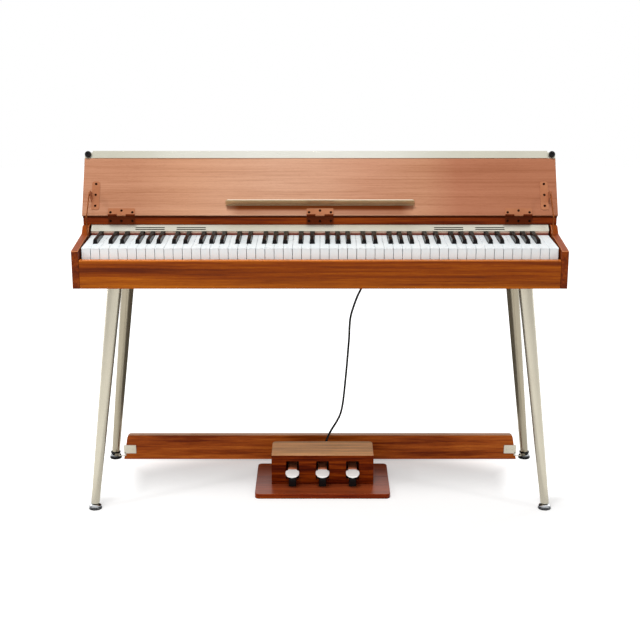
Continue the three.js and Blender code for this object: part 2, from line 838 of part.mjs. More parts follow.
// The metal strip that caps the lid, with a low ear at each end that carries the bumper.
function addEdgeStrip() {
  const foot = lidWoodHeight + seam;
  const inner = hingeOffset - edgeStripProud;
  const outer = hingeOffset + lidThickness;
  const section = outline([
    [inner, foot],
    [outer, foot],
    [outer, lidWoodHeight + edgeStripHeight, edgeStripNoseRadius],
    [inner, lidWoodHeight + edgeStripHeight, edgeStripNoseRadius],
  ]);
  const stripHalf = lidHalf - edgeStripInset;
  let strip = alongX(section, -stripHalf, stripHalf);
  for (const side of [-1, 1]) {
    const ear = outline([
      [side * (stripHalf - weldDepth), foot],
      [side * lidHalf, foot],
      [side * lidHalf, foot + earHeight, earRadius],
      [side * (stripHalf - weldDepth), foot + earHeight],
    ]);
    strip = strip.add(alongY(ear, hingeOffset, outer));
  }
  addPiece("lid_edge_strip", strip, champagne, lid);
}

function addBumper(name, side) {
  const body = turned([
    [0, 0],
    [bumperRadius, 0],
    [bumperRadius, bumperHeight - bumperDomeDrop],
    [bumperRadius - bumperDomeDrop, bumperHeight],
    [bumperRecessRadius, bumperHeight],
    [bumperRecessRadius, bumperHeight - bumperRecessDepth],
    [0, bumperHeight - bumperRecessDepth],
  ]);
  const bumper = addPiece(name, body, blackRubber, lid);
  bumper.position.set(side * (lidHalf - bumperRadius - bumperInset), hingeOffset - seam, bumperHeightOnLid);
  bumper.rotation.x = Math.PI / 2;
}

// The music ledge: a plate tilted up from the lid, with a flange that is screwed to the lid.
function addMusicLedge() {
  const tilt = THREE.MathUtils.degToRad(ledgeTilt);
  const out = new THREE.Vector2(-Math.cos(tilt), Math.sin(tilt));
  const up = new THREE.Vector2(Math.sin(tilt), Math.cos(tilt));
  const face = hingeOffset - seam;
  const heel = new THREE.Vector2(face, ledgeHeightOnLid);
  const toInside = (leafThickness + ledgeThickness * Math.sin(tilt)) / Math.cos(tilt);
  const section = [
    heel,
    new THREE.Vector2(face, ledgeHeightOnLid + ledgeFlange),
    new THREE.Vector2(face - leafThickness, ledgeHeightOnLid + ledgeFlange),
    heel.clone().addScaledVector(up, ledgeThickness).addScaledVector(out, toInside),
    heel.clone().addScaledVector(up, ledgeThickness).addScaledVector(out, ledgeDepth),
    heel.clone().addScaledVector(out, ledgeDepth),
  ];
  const half = ledgeWidth / 2;
  const tip = heel.x + out.x * ledgeDepth;
  const plan = outline([
    [-half, face + overrun],
    [-half, tip, ledgeCornerRadius],
    [half, tip, ledgeCornerRadius],
    [half, face + overrun],
  ]);
  const reach = ledgeHeightOnLid + ledgeDepth + ledgeFlange;
  const plate = alongX(section, -half - overrun, half + overrun).intersect(alongZ(plan, 0, reach));
  addPiece("music_ledge", plate, champagne, lid);
}

// Lid stays. Each has a bracket on the lid, an upper arm hung from it and a lower arm on the cheek.
const stayPivotLocal = new THREE.Vector2(hingeOffset - stayPivotReach, stayPivotHeight);
const stayPivot = lidPoint(stayPivotLocal);
const stayFoot = new THREE.Vector2(stayFootY, stayFootZ);
const stayElbow = elbowOf(stayPivot, stayFoot);

// A point of the lid's (y, z) plane in the piano's own (y, z) plane.
function lidPoint(local) {
  return local
    .clone()
    .rotateAround(new THREE.Vector2(0, 0), -lidLeanRadians)
    .add(new THREE.Vector2(hingeY, hingeZ));
}

// Where two equal arms meet, on the player's side of their pivots.
function elbowOf(a, b) {
  const across = b.clone().sub(a);
  const middle = a.clone().add(b).divideScalar(2);
  const rise = Math.sqrt(Math.max(armLength ** 2 - across.lengthSq() / 4, 0));
  const side = new THREE.Vector2(across.y, -across.x).normalize().multiplyScalar(rise);
  return side.x > 0 ? middle.sub(side) : middle.add(side);
}

// The side of an arm: a bar with round ends from one pivot to the other.
function armOutline(from, to) {
  const along = to.clone().sub(from).normalize().multiplyScalar(armHalfWidth);
  const beside = new THREE.Vector2(-along.y, along.x);
  const corners = [
    from.clone().sub(along).add(beside),
    from.clone().sub(along).sub(beside),
    to.clone().add(along).sub(beside),
    to.clone().add(along).add(beside),
  ];
  return outline(corners.map((p) => [p.x, p.y, armHalfWidth]));
}

function addStay(hand, side) {
  const lower = side * (cheekInner - seam);
  const lowerInner = lower - side * stayPlate;
  const upper = lowerInner - side * seam;
  const upperInner = upper - side * stayPlate;
  const flange = upperInner - side * seam;
  const flangeInner = flange - side * stayPlate;

  const stud = bar(
    vector(lowerInner + side * seam, stayFoot.x, stayFoot.y),
    vector(side * (cheekInner + stayStudLength), stayFoot.x, stayFoot.y),
    stayPinRadius,
  );
  const lowerArm = alongX(armOutline(stayFoot, stayElbow), lowerInner, lower).add(stud);
  addPiece(`stay_lower_arm_${hand}`, lowerArm, copperBrown);

  const eye = alongX(
    circle(stayPivot.x, stayPivot.y, stayPinRadius + runningGap),
    upperInner - side * overrun,
    upper + side * overrun,
  );
  const upperArm = alongX(armOutline(stayPivot, stayElbow), upperInner, upper).subtract(eye);
  addPiece(`stay_upper_arm_${hand}`, upperArm, copperBrown);

  addStayBracket(hand, side, flangeInner, flange, upper);
}

function addStayBracket(hand, side, flangeInner, flange, pinEnd) {
  const face = hingeOffset - seam;
  const top = stayBracketFoot + stayBracketHeight;
  const plan = outline([
    [flange, stayBracketFoot],
    [flange, top, stayBracketRadius],
    [flange - side * stayBracketWidth, top, stayBracketRadius],
    [flange - side * stayBracketWidth, stayBracketFoot, stayBracketRadius],
  ]);
  const { x: pivotY, y: pivotZ } = stayPivotLocal;
  const ear = outline([
    [face, pivotZ - stayFlangeHalf],
    [pivotY - stayEyeRadius, pivotZ - stayEyeRadius, stayEyeRadius],
    [pivotY - stayEyeRadius, pivotZ + stayEyeRadius, stayEyeRadius],
    [face, pivotZ + stayFlangeHalf],
  ]);
  const pin = bar(
    vector(flangeInner + side * seam, pivotY, pivotZ),
    vector(pinEnd, pivotY, pivotZ),
    stayPinRadius,
  );
  const bracket = alongY(plan, face - stayPlate, face).add(alongX(ear, flangeInner, flange)).add(pin);
  addPiece(`stay_bracket_${hand}`, bracket, copperBrown, lid);
}

// Legs lean out and away from the cabinet's middle.
const rearFootY = overallDepth / 2 - glideRadius;
const frontLegTopY = frontFace + frontLegTopSetback;
const frontFootY = frontFace + frontFootSetback;
const rearLegTopY = cabinetRear - rearLegTopSetback;
const legCorners = [
  { name: "front_left", side: -1, topY: frontLegTopY, footY: frontFootY, rear: false },
  { name: "front_right", side: 1, topY: frontLegTopY, footY: frontFootY, rear: false },
  { name: "rear_left", side: -1, topY: rearLegTopY, footY: rearFootY, rear: true },
  { name: "rear_right", side: 1, topY: rearLegTopY, footY: rearFootY, rear: true },
];

function addLeg({ name, side, topY, footY, rear }) {
  const end = glideHeight + seam + (rear ? eyeThickness + seam : 0);
  const plateTop = cabinetUnderside - seam;
  const foot = vector(side * (cabinetHalf - legFootInset), footY, glideHeight);
  const top = vector(side * (cabinetHalf - legTopInset), topY, plateTop);
  const extra = legTopRadius * 2; // the tube runs this far past both ends and is cut level
  const length = foot.distanceTo(top);
  const tubeFoot = foot.clone().lerp(top, -extra / length);
  const tubeTop = top.clone().lerp(foot, -extra / length);
  const widening = ((legTopRadius - legFootRadius) * extra) / length;
  const tube = bar(tubeFoot, tubeTop, legFootRadius - widening, legTopRadius + widening, roundSteps);
  const half = legPlateSize / 2;
  const plateOutline = rectangle(top.x - half, top.x + half, top.y - half, top.y + half, legPlateRadius);
  const plate = alongZ(plateOutline, plateTop - legPlateThickness, plateTop);
  const bore = bar(
    vector(foot.x, foot.y, end - overrun),
    vector(foot.x, foot.y, glideHeight + glideStudLength + runningGap),
    glideStudRadius + runningGap,
  );
  const leg = tube
    .trimByPlane([0, 0, 1], end)
    .trimByPlane([0, 0, -1], -plateTop)
    .add(plate)
    .subtract(bore);
  addPiece(`leg_${name}`, leg, champagne);
  addGlide(name, foot.x, foot.y);
}

// A levelling glide: a domed base, a neck and a stud that screws into the leg.
function addGlide(name, x, y) {
  const neckFoot = glideHeight - glideRim;
  const shoulder = (glideRim + neckFoot) / 2;
  const body = turned([
    [0, 0],
    [glideRadius - glideChamfer, 0],
    [glideRadius, glideChamfer],
    [glideRadius, glideRim],
    [(glideRadius + glideNeckRadius) / 2, shoulder],
    [glideNeckRadius, neckFoot],
    [glideNeckRadius, glideHeight],
    [glideStudRadius, glideHeight],
    [glideStudRadius, glideHeight + glideStudLength],
    [0, glideHeight + glideStudLength],
  ]);
  addPiece(`glide_${name}`, body, chrome).position.set(x, y, 0);
}

// The stretcher stands between the rear legs and is tied to their glide studs by two brackets.
const stretcherFront = rearFootY - stretcherSetback;
const stretcherHalf = cabinetHalf - legFootInset - stretcherEndGap;

function addStretcher() {
  const top = stretcherBottom + stretcherHeight;
  const shape = outline([
    [-stretcherHalf, stretcherBottom],
    [stretcherHalf, stretcherBottom],
    [stretcherHalf - stretcherEndSlope, top, stretcherCornerRadius],
    [-stretcherHalf + stretcherEndSlope, top, stretcherCornerRadius],
  ]);
  addPiece("stretcher", alongY(shape, stretcherFront, stretcherFront + stretcherThickness), wood);
}

function addStretcherBracket(hand, side) {
  const back = stretcherFront - seam;
  const front = back - bracketThickness;
  const footX = cabinetHalf - legFootInset;
  const eyeBottom = glideHeight + seam;
  const eyeTop = eyeBottom + eyeThickness;
  const plateBottom = stretcherBottom + bracketRise;
  const outerX = stretcherHalf - weldDepth;
  const strapInner = footX - strapWidth;
  const plate = box(
    side * (outerX - bracketWidth),
    side * outerX,
    front,
    back,
    plateBottom,
    plateBottom + bracketHeight,
  );
  const arm = box(
    side * (outerX - bracketWidth / 2),
    side * footX,
    front,
    back,
    eyeBottom,
    plateBottom + bracketArmLap,
  );
  const strap = box(side * strapInner, side * footX, front, rearFootY, eyeBottom, eyeTop);
  const ring = alongZ(circle(side * footX, rearFootY, eyeRadius, roundSteps), eyeBottom, eyeTop);
  const bore = bar(
    vector(side * footX, rearFootY, eyeBottom - overrun),
    vector(side * footX, rearFootY, eyeTop + overrun),
    glideStudRadius + runningGap,
  );
  addPiece(`stretcher_bracket_${hand}`, plate.add(arm).add(strap).add(ring).subtract(bore), champagne);
}

// Pedal unit: a base board, a housing open underneath, and three levers on a pivot bracket.
const pedalBaseFront = frontFace + pedalBaseSetback;
const pedalBaseBack = stretcherFront - pedalBaseToStretcher;
const housingFront = pedalBaseFront + housingSetback;
const housingBottom = pedalBaseHeight + seam;
const pedalPivotY = housingFront + pedalPivotSetback;
const pedalTop = pedalBaseHeight + pedalTopRise;
const pedalPivotZ = pedalTop - pedalThickness / 2;
const slotBottom = pedalBaseHeight + slotSill;

function pedalX(i) {
  return pedalUnitX + (i - (pedalCount - 1) / 2) * pedalPitch;
}

function addPedalBase() {
  const left = pedalUnitX - pedalBaseWidth / 2;
  const plan = rectangle(left, left + pedalBaseWidth, pedalBaseFront, pedalBaseBack, pedalBaseRadius);
  addPiece("pedal_base", alongZ(plan, 0, pedalBaseHeight), wood);
}

function addPedalHousing() {
  const left = pedalUnitX - housingWidth / 2;
  const right = left + housingWidth;
  const back = housingFront + housingDepth;
  const plan = outline([
    [left, housingFront, housingFrontRadius],
    [right, housingFront, housingFrontRadius],
    [right, back, housingRearRadius],
    [left, back, housingRearRadius],
  ]);
  let housing = alongZ(plan, housingBottom, housingBottom + housingHeight).subtract(
    box(
      left + housingWall,
      right - housingWall,
      housingFront + housingWall,
      back - housingWall,
      housingBottom - overrun,
      housingBottom + housingHeight - housingWall,
    ),
  );
  const half = slotOpeningWidth / 2;
  const slotTop = slotBottom + slotOpeningHeight;
  const cutFront = housingFront - overrun;
  const cutBack = housingFront + housingWall + overrun;
  for (let i = 0; i < pedalCount; i++) {
    const opening = rectangle(pedalX(i) - half, pedalX(i) + half, slotBottom, slotTop, slotOpeningRadius);
    housing = housing.subtract(alongY(opening, cutFront, cutBack));
  }
  addPiece("pedal_housing", housing, wood);
}

// A pedal: a flat shank, a wider head that curves down at its tip, and a boss on the pivot.
function addPedal(name, i) {
  const x = pedalX(i);
  const tip = housingFront - pedalReach;
  const headBack = tip + pedalHeadLength;
  const tail = pedalPivotY + pedalShankOverrun;
  const flare = headBack - pedalHeadLength * pedalHeadFlareShare;
  const waist = headBack - pedalHeadLength * pedalTipShare;
  const shank = pedalShankWidth / 2;
  const head = pedalHeadWidth / 2;
  const plan = outline([
    [x - shank, tail],
    [x - shank, headBack, pedalThickness],
    [x - head, flare, pedalThickness],
    [x - head, waist, pedalThickness],
    [x - shank + pedalThickness / 2, tip, pedalThickness],
    [x + shank - pedalThickness / 2, tip, pedalThickness],
    [x + head, waist, pedalThickness],
    [x + head, flare, pedalThickness],
    [x + shank, headBack, pedalThickness],
    [x + shank, tail],
  ]);
  const low = pedalTop - pedalThickness;
  const sideView = outline([
    [tail, pedalTop],
    [tail, low],
    [waist, low, pedalHeadLength],
    [tip - seam, low - pedalTipDrop],
    [tip - seam, pedalTop - pedalTipDrop, pedalThickness / 2],
    [waist, pedalTop, pedalHeadLength],
  ]);
  const depth = pedalTipDrop + pedalThickness + overrun;
  const boss = alongX(circle(pedalPivotY, pedalPivotZ, pedalBossRadius), x - shank, x + shank);
  const bore = alongX(circle(pedalPivotY, pedalPivotZ, pedalPivotRadius + runningGap), x - head, x + head);
  const lever = alongX(sideView, x - head - overrun, x + head + overrun)
    .intersect(alongZ(plan, pedalTop - depth, pedalTop + overrun))
    .add(boss)
    .subtract(bore);
  addPiece(name, lever, chrome);
}

// The pivot bracket inside the housing: a base strip, two ears to each pedal and the pins between them.
function addPivotBracket() {
  const base = pedalBaseHeight + seam;
  const earGap = pedalShankWidth / 2 + runningGap;
  const ear = earGap + pivotEarThickness;
  let bracket = box(
    pedalX(0) - ear,
    pedalX(pedalCount - 1) + ear,
    pedalPivotY - pivotEarHalf,
    pedalPivotY + pivotEarHalf,
    base,
    base + pivotBaseHeight,
  );
  const side = outline([
    [pedalPivotY - pivotEarHalf, base],
    [pedalPivotY + pivotEarHalf, base],
    [pedalPivotY + pivotEarHalf, pedalPivotZ + pivotEarHalf, pivotEarHalf],
    [pedalPivotY - pivotEarHalf, pedalPivotZ + pivotEarHalf, pivotEarHalf],
  ]);
  for (let i = 0; i < pedalCount; i++) {
    const x = pedalX(i);
    bracket = bracket
      .add(alongX(side, x - ear, x - earGap))
      .add(alongX(side, x + earGap, x + ear))
      .add(alongX(circle(pedalPivotY, pedalPivotZ, pedalPivotRadius), x - ear, x + ear));
  }
  addPiece("pedal_pivot_bracket", bracket, blackPlastic);
}

// Rubber posts under the pedal heads, moulded on one bar that lies inside the housing.
function addPedalBuffers() {
  const postBack = housingFront - bufferSetback;
  const base = pedalBaseHeight + seam;
  const barFront = housingFront + housingWall + bufferBarGap;
  const armBottom = slotBottom + seam;
  const armTop = armBottom + bufferArmHeight;
  let buffers = box(
    pedalX(0) - bufferWidth / 2,
    pedalX(pedalCount - 1) + bufferWidth / 2,
    barFront,
    barFront + bufferBarDepth,
    base,
    armTop,
  );
  const half = bufferWidth / 2;
  const armHalf = bufferArmWidth / 2;
  const armFront = postBack - bufferDepth / 2;
  for (let i = 0; i < pedalCount; i++) {
    const x = pedalX(i);
    const post = rectangle(x - half, x + half, postBack - bufferDepth, postBack, bufferRadius);
    const arm = box(x - armHalf, x + armHalf, armFront, barFront + weldDepth, armBottom, armTop);
    buffers = buffers.add(alongZ(post, base, base + bufferHeight)).add(arm);
  }
  addPiece("pedal_buffers", buffers, blackRubber);
}

// The pedal lead: strain relief on the housing, free cord, plug and the socket under the cabinet.
function addPedalLead() {
  const housingBack = housingFront + housingDepth + seam;
  const reliefZ = pedalBaseHeight + reliefRise;
  const relief = turned(
    [
      [0, 0],
      [reliefFlangeRadius, 0],
      [reliefFlangeRadius, reliefFlangeLength],
      [reliefBaseRadius, reliefFlangeLength],
      [reliefTipRadius, reliefLength],
      [0, reliefLength],
    ],
    smallRoundSteps,
  );
  const reliefMesh = addPiece("lead_strain_relief", relief, blackRubber);
  reliefMesh.position.set(reliefX, housingBack, reliefZ);
  reliefMesh.rotation.x = -Math.PI / 2;

  const socketY = cabinetRear - socketToRear;
  const socketTop = cabinetUnderside - seam;
  const socketBottom = socketTop - socketHeight;
  const shell = box(
    socketX - socketSize / 2,
    socketX + socketSize / 2,
    socketY - socketSize / 2,
    socketY + socketSize / 2,
    socketBottom,
    socketTop,
  );
  const hole = bar(
    vector(socketX, socketY, socketBottom - overrun),
    vector(socketX, socketY, socketBottom + plugPinLength + seam),
    plugPinRadius + runningGap,
  );
  addPiece("pedal_socket", shell.subtract(hole), blackPlastic);

  const plugBottom = socketBottom - seam - plugBodyLength;
  const plug = turned(
    [
      [0, 0],
      [plugNeckRadius, 0],
      [plugBodyRadius, plugBodyLength / 3],
      [plugBodyRadius, plugBodyLength],
      [plugPinRadius, plugBodyLength],
      [plugPinRadius, plugBodyLength + plugPinLength],
      [0, plugBodyLength + plugPinLength],
    ],
    smallRoundSteps,
  );
  addPiece("pedal_plug", plug, blackPlastic).position.set(socketX, socketY, plugBottom);

  const exitY = housingBack + reliefLength + seam;
  const route = [
    vector(socketX, socketY, plugBottom - seam),
    vector(socketX, socketY, plugBottom - seam - cordStraightRun),
    ...cordRoute.map(([x, y, z]) => vector(x, y, z)),
    vector(reliefX, exitY + cordStraightRun, reliefZ),
    vector(reliefX, exitY, reliefZ),
  ];
  const section = new THREE.Shape(circle(0, 0, cordDiameter / 2, cordSides));
  const cord = new THREE.ExtrudeGeometry(section, {
    steps: cordSteps,
    bevelEnabled: false,
    extrudePath: new THREE.CatmullRomCurve3(route, false, "centripetal"),
  });
  addPiece("pedal_cord", solid(cord), blackRubber);
}

addCheek("cheek_left", -1);
addCheek("cheek_right", 1);
addFrontRail();
addBoards();
addBack();
addControlPanel();
addFeltStrip();
addKeyBed();
addCombs();
addSpeaker("speaker_left", -1);
addSpeaker("speaker_right", 1);
addMainBoard();

addLidBoard();
addEdgeStrip();
addMusicLedge();
addBumper("bumper_left", -1);
addBumper("bumper_right", 1);
addHinge("hinge_left", -(cabinetHalf - hingeInset));
addHinge("hinge_middle", 0);
addHinge("hinge_right", cabinetHalf - hingeInset);
addStay("left", -1);
addStay("right", 1);

legCorners.forEach(addLeg);
addStretcher();
addStretcherBracket("left", -1);
addStretcherBracket("right", 1);

addPedalBase();
addPedalHousing();
addPivotBracket();
addPedalBuffers();
addPedal("pedal_left", 0);
addPedal("pedal_middle", 1);
addPedal("pedal_right", 2);
addPedalLead();

export default piano;
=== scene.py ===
"""The looks of a fold-lid digital piano, built in Blender 4.5 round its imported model.

Metres, in the model's own frame: +X is the treble end, +Y the back and +Z up, with the
origin on the floor under the middle. Every piece rides on the body that carries it.
"""

from __future__ import annotations

import json
import logging
import math
from dataclasses import dataclass, field
from enum import Enum
from typing import Any, Iterable, Mapping, Sequence

import bmesh
import bpy
from mathutils import Matrix, Vector, noise

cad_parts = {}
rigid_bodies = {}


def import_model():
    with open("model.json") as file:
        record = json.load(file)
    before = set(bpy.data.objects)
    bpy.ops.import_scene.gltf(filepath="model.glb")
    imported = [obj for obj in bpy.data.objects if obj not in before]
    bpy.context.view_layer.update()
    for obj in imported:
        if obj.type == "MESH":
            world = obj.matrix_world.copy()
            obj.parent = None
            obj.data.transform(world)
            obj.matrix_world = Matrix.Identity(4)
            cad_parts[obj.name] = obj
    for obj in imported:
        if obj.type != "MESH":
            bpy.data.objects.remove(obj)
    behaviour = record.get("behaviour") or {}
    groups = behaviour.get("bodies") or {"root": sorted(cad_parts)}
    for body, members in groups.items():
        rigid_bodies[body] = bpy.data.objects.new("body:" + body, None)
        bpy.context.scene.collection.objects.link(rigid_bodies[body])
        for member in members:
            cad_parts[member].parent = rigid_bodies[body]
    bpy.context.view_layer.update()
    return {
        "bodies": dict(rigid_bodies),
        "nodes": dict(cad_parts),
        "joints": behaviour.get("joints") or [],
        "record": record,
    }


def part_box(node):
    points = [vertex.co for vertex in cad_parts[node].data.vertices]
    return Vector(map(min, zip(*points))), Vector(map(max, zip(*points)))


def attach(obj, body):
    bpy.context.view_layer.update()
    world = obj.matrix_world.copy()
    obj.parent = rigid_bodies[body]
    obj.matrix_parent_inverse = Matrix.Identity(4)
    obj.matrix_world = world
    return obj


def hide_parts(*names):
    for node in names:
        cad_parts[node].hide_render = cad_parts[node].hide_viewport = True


log = logging.getLogger("piano")

Point2 = tuple[float, float]
Point3 = tuple[float, float, float]
Colour = tuple[float, float, float, float]
Stops = Sequence[tuple[float, Colour]]

X, Y, Z = range(3)  # the axes by number
TO_TREBLE, TO_BACK, TO_PLAYER = Vector((1.0, 0.0, 0.0)), Vector((0.0, 1.0, 0.0)), Vector((0.0, -1.0, 0.0))
UPWARD, DOWNWARD = Vector((0.0, 0.0, 1.0)), Vector((0.0, 0.0, -1.0))
THIRDS = ("left", "middle", "right")

WELD = 1e-5  # vertices closer than this are one
FLAT_ANGLE = math.radians(1.0)  # facets closer to coplanar than this are one face
EDGE_ANGLE = math.radians(32.0)  # a corner sharper than this is an edge


class Hand(Enum):
    """A side of the piano, by the name that its nodes have, as the sign of X."""

    left = -1
    right = 1


def paint(red: int, green: int, blue: int) -> Colour:
    """Turns a colour as it is seen, 0 to 255, into the shader's own linear one.

    Args:
        red, green, blue: The three channels.

    Returns:
        The linear colour with alpha 1.
    """

    def linear(channel: int) -> float:
        """One channel, from the screen's curve to a straight one."""
        share = channel / 255
        return share / 12.92 if share <= 0.04045 else ((share + 0.055) / 1.055) ** 2.4

    return (linear(red), linear(green), linear(blue), 1.0)


def smooth_step(value: float) -> float:
    """Eases a share from 0 to 1, held at both ends."""
    held = min(max(value, 0.0), 1.0)
    return held * held * (3 - 2 * held)


def circle(steps: int) -> list[Point2]:
    """The points of a circle of radius 1."""
    angles = [2 * math.pi * k / steps for k in range(steps)]
    return [(math.cos(angle), math.sin(angle)) for angle in angles]


def add_object(name: str, data: bpy.types.ID) -> bpy.types.Object:
    """Puts a new object in the scene.

    Args:
        name: Its name.
        data: Its mesh, curve, lamp or camera.

    Returns:
        The object.
    """
    made = bpy.data.objects.new(name, data)
    bpy.context.scene.collection.objects.link(made)
    return made


# ---- shader sheets


class Field:
    """A number, colour or vector that changes over a surface: one output socket of a sheet."""

    def __init__(self, sheet: ShaderSheet, socket: bpy.types.NodeSocket) -> None:
        """Wraps one output socket of a sheet."""
        self.sheet = sheet
        self.socket = socket

    def _math(self, operation: str, *values: Field | float) -> Field:
        """The result of one Math node with these operands."""
        return self.sheet.node("ShaderNodeMath", {"operation": operation}, dict(enumerate(values)))[0]

    def __add__(self, other: Field | float) -> Field:
        """self + other."""
        return self._math("ADD", self, other)

    def __radd__(self, other: float) -> Field:
        """other + self."""
        return self._math("ADD", other, self)

    def __sub__(self, other: Field | float) -> Field:
        """self - other."""
        return self._math("SUBTRACT", self, other)

    def __rsub__(self, other: float) -> Field:
        """other - self."""
        return self._math("SUBTRACT", other, self)

    def __mul__(self, other: Field | float) -> Field:
        """self * other."""
        return self._math("MULTIPLY", self, other)

    def __rmul__(self, other: float) -> Field:
        """other * self."""
        return self._math("MULTIPLY", other, self)

    def __abs__(self) -> Field:
        """abs(self)."""
        return self._math("ABSOLUTE", self)

    def larger(self, other: Field | float) -> Field:
        """The larger of self and other."""
        return self._math("MAXIMUM", self, other)

    def between(self, low: float, high: float) -> Field:
        """Eases from 0 where self is low to 1 where it is high."""
        sockets = {"Value": self, "From Min": low, "From Max": high}
        return self.sheet.node("ShaderNodeMapRange", {"interpolation_type": "SMOOTHSTEP"}, sockets)[0]


class Outlets:
    """The outputs of one node, each as a Field."""

    def __init__(self, sheet: ShaderSheet, node: bpy.types.Node) -> None:
        """Keeps the sheet and its node."""
        self.sheet = sheet
        self.node = node

    def __getitem__(self, key: int | str) -> Field:
        """The output with that name or number."""
        return Field(self.sheet, self.node.outputs[key])


class ShaderSheet:
    """The node tree of one material or world, written as expressions."""

    def __init__(self, tree: bpy.types.NodeTree) -> None:
        """Empties the tree and takes it over."""
        self.tree = tree
        tree.nodes.clear()

    @classmethod
    def of_material(cls, name: str) -> tuple[bpy.types.Material, ShaderSheet]:
        """Makes a material.

        Args:
            name: The material's name.

        Returns:
            The material and its empty sheet.
        """
        made = bpy.data.materials.new(name)
        made.use_nodes = True
        return made, cls(made.node_tree)

    def node(
        self, kind: str, settings: Mapping[str, Any] | None = None, sockets: Mapping[int | str, Any] | None = None
    ) -> Outlets:
        """Adds a node.

        Args:
            kind: The node's type.
            settings: Its own settings, set first. "stops" is a ramp's list of places and colours.
            sockets: Values or Fields for its inputs, by name or number.

        Returns:
            The node's outputs.
        """
        made = self.tree.nodes.new(kind)
        for key, value in (settings or {}).items():
            if key == "stops":
                self._set_stops(made.color_ramp, value)
            else:
                setattr(made, key, value)
        for key, value in (sockets or {}).items():
            if isinstance(value, Field):
                self.tree.links.new(value.socket, made.inputs[key])
            else:
                made.inputs[key].default_value = value
        return Outlets(self, made)

    @staticmethod
    def _set_stops(ramp: bpy.types.ColorRamp, stops: Stops) -> None:
        """Gives a colour ramp its stops.

        Args:
            ramp: The ramp.
            stops: Places from 0 to 1, each with its colour.
        """
        while len(ramp.elements) < len(stops):
            ramp.elements.new(1.0)
        for element, (place, colour) in zip(ramp.elements, stops):
            element.position = place
            element.color = colour

    def place(self) -> Field:
        """The point in the piano's own frame, in metres."""
        return self.node("ShaderNodeTexCoord")["Object"]

    def axis(self, point: Field, axis: int) -> Field:
        """One coordinate of a point."""
        return self.node("ShaderNodeSeparateXYZ", {}, {0: point})[axis]

    def stretched(self, point: Field, scale: Sequence[float]) -> Field:
        """A point with each coordinate scaled."""
        return self.node("ShaderNodeVectorMath", {"operation": "MULTIPLY"}, {0: point, 1: scale})[0]

    def shifted(self, point: Field, shift: Field | Sequence[float]) -> Field:
        """A point moved by a vector."""
        return self.node("ShaderNodeVectorMath", {"operation": "ADD"}, {0: point, 1: shift})[0]

    def noise(self, point: Field, scale: float, detail: float = 2.0, roughness: float = 0.5) -> Field:
        """Noise from 0 to 1, of scale cells to the metre, whose detail finer layers are as strong as roughness."""
        sockets = {"Vector": point, "Scale": scale, "Detail": detail, "Roughness": roughness}
        return self.node("ShaderNodeTexNoise", {}, sockets)[0]

    def ramp(self, value: Field, stops: Stops) -> Field:
        """A colour picked from stops by a value."""
        return self.node("ShaderNodeValToRGB", {"stops": stops}, {0: value})[0]

    def mix(self, share: Field | float, first: Field | Colour, second: Field | Colour, blend: str = "MIX") -> Field:
        """Two colours mixed, where share is how much of the second shows."""
        settings = {"data_type": "RGBA", "blend_type": blend}
        return self.node("ShaderNodeMix", settings, {0: share, 6: first, 7: second})[2]

    def bump(self, height: Field, distance: float, strength: float) -> Field:
        """A normal raised by a height from 0 to 1, where a height of 1 is distance metres."""
        sockets = {"Height": height, "Distance": distance, "Strength": strength}
        return self.node("ShaderNodeBump", {}, sockets)["Normal"]

    def surface(self, sockets: Mapping[str, Any]) -> None:
        """Ends the sheet in one Principled surface."""
        shader = self.node("ShaderNodeBsdfPrincipled", {}, sockets)
        self.node("ShaderNodeOutputMaterial", {}, {"Surface": shader["BSDF"]})


# ---- finishes


class Grain(Enum):
    """Which way a board's grain runs, as the axis's number."""

    ACROSS_THE_PIANO = X
    FRONT_TO_BACK = Y


@dataclass(frozen=True)
class Finish:
    """What every finish has: a name, the record's slot and a way to make its material."""

    name: str
    slot: str

    def describe(self, sheet: ShaderSheet) -> None:
        """Writes the finish on a shader sheet."""
        raise NotImplementedError

    def material(self) -> bpy.types.Material:
        """Makes the finish's material, once.

        Returns:
            The material.
        """
        found = bpy.data.materials.get(self.name)
        if found:
            return found
        made, sheet = ShaderSheet.of_material(self.name)
        self.describe(sheet)
        return made


@dataclass(frozen=True)
class PaintedShelfShadow:
    """A painted shadow under a shelf, on the face of a leaning board: the board's colour is darkened where the shelf's
    shade falls.
    """

    # the painted shadow's tint, multiplied into the colour
    tone: Colour
    low: float  # the shelf's lowest and highest points
    high: float
    half: float  # half its length
    near_share: float = 0.55  # of the tone, close under the shelf
    near_rise: float = 0.52  # share of the shelf's height over which it comes in
    near_ease: float = 0.006  # its fade at both ends
    soft_share: float = 0.45  # of the tone, in a wider band
    soft_start: float = 0.0113  # how far under the shelf that band starts, and where it is whole
    soft_whole: float = 0.0033
    soft_ease: float = 0.04
    top_ease: float = 0.0012
    lean: Point2 = (0.866, 0.5)  # how depth and height count through the board
    face: Point2 = (-0.3918, -0.3898)  # where its face ends, counted so

    def _span(self, across: Field, ease: float) -> Field:
        """1 along the shelf, with a fade at both ends."""
        return across.between(-self.half, ease - self.half) * (1 - across.between(self.half - ease, self.half))

    def share(self, sheet: ShaderSheet, point: Field) -> Field:
        """How dark the painted shadow is at a point.

        Args:
            sheet: The sheet to write on.
            point: The place on the board.

        Returns:
            A share, 0 outside the painted shadow.
        """
        across, depth, level = (sheet.axis(point, number) for number in (X, Y, Z))
        near = level.between(self.low, self.low + self.near_rise * (self.high - self.low)) * self.near_share
        soft = level.between(self.low - self.soft_start, self.low - self.soft_whole) * self.soft_share
        painted_shadow = near * self._span(across, self.near_ease) + soft * self._span(across, self.soft_ease)
        under = 1 - level.between(self.high, self.high + self.top_ease)
        return painted_shadow * under * (1 - (depth * self.lean[0] - level * self.lean[1]).between(*self.face))


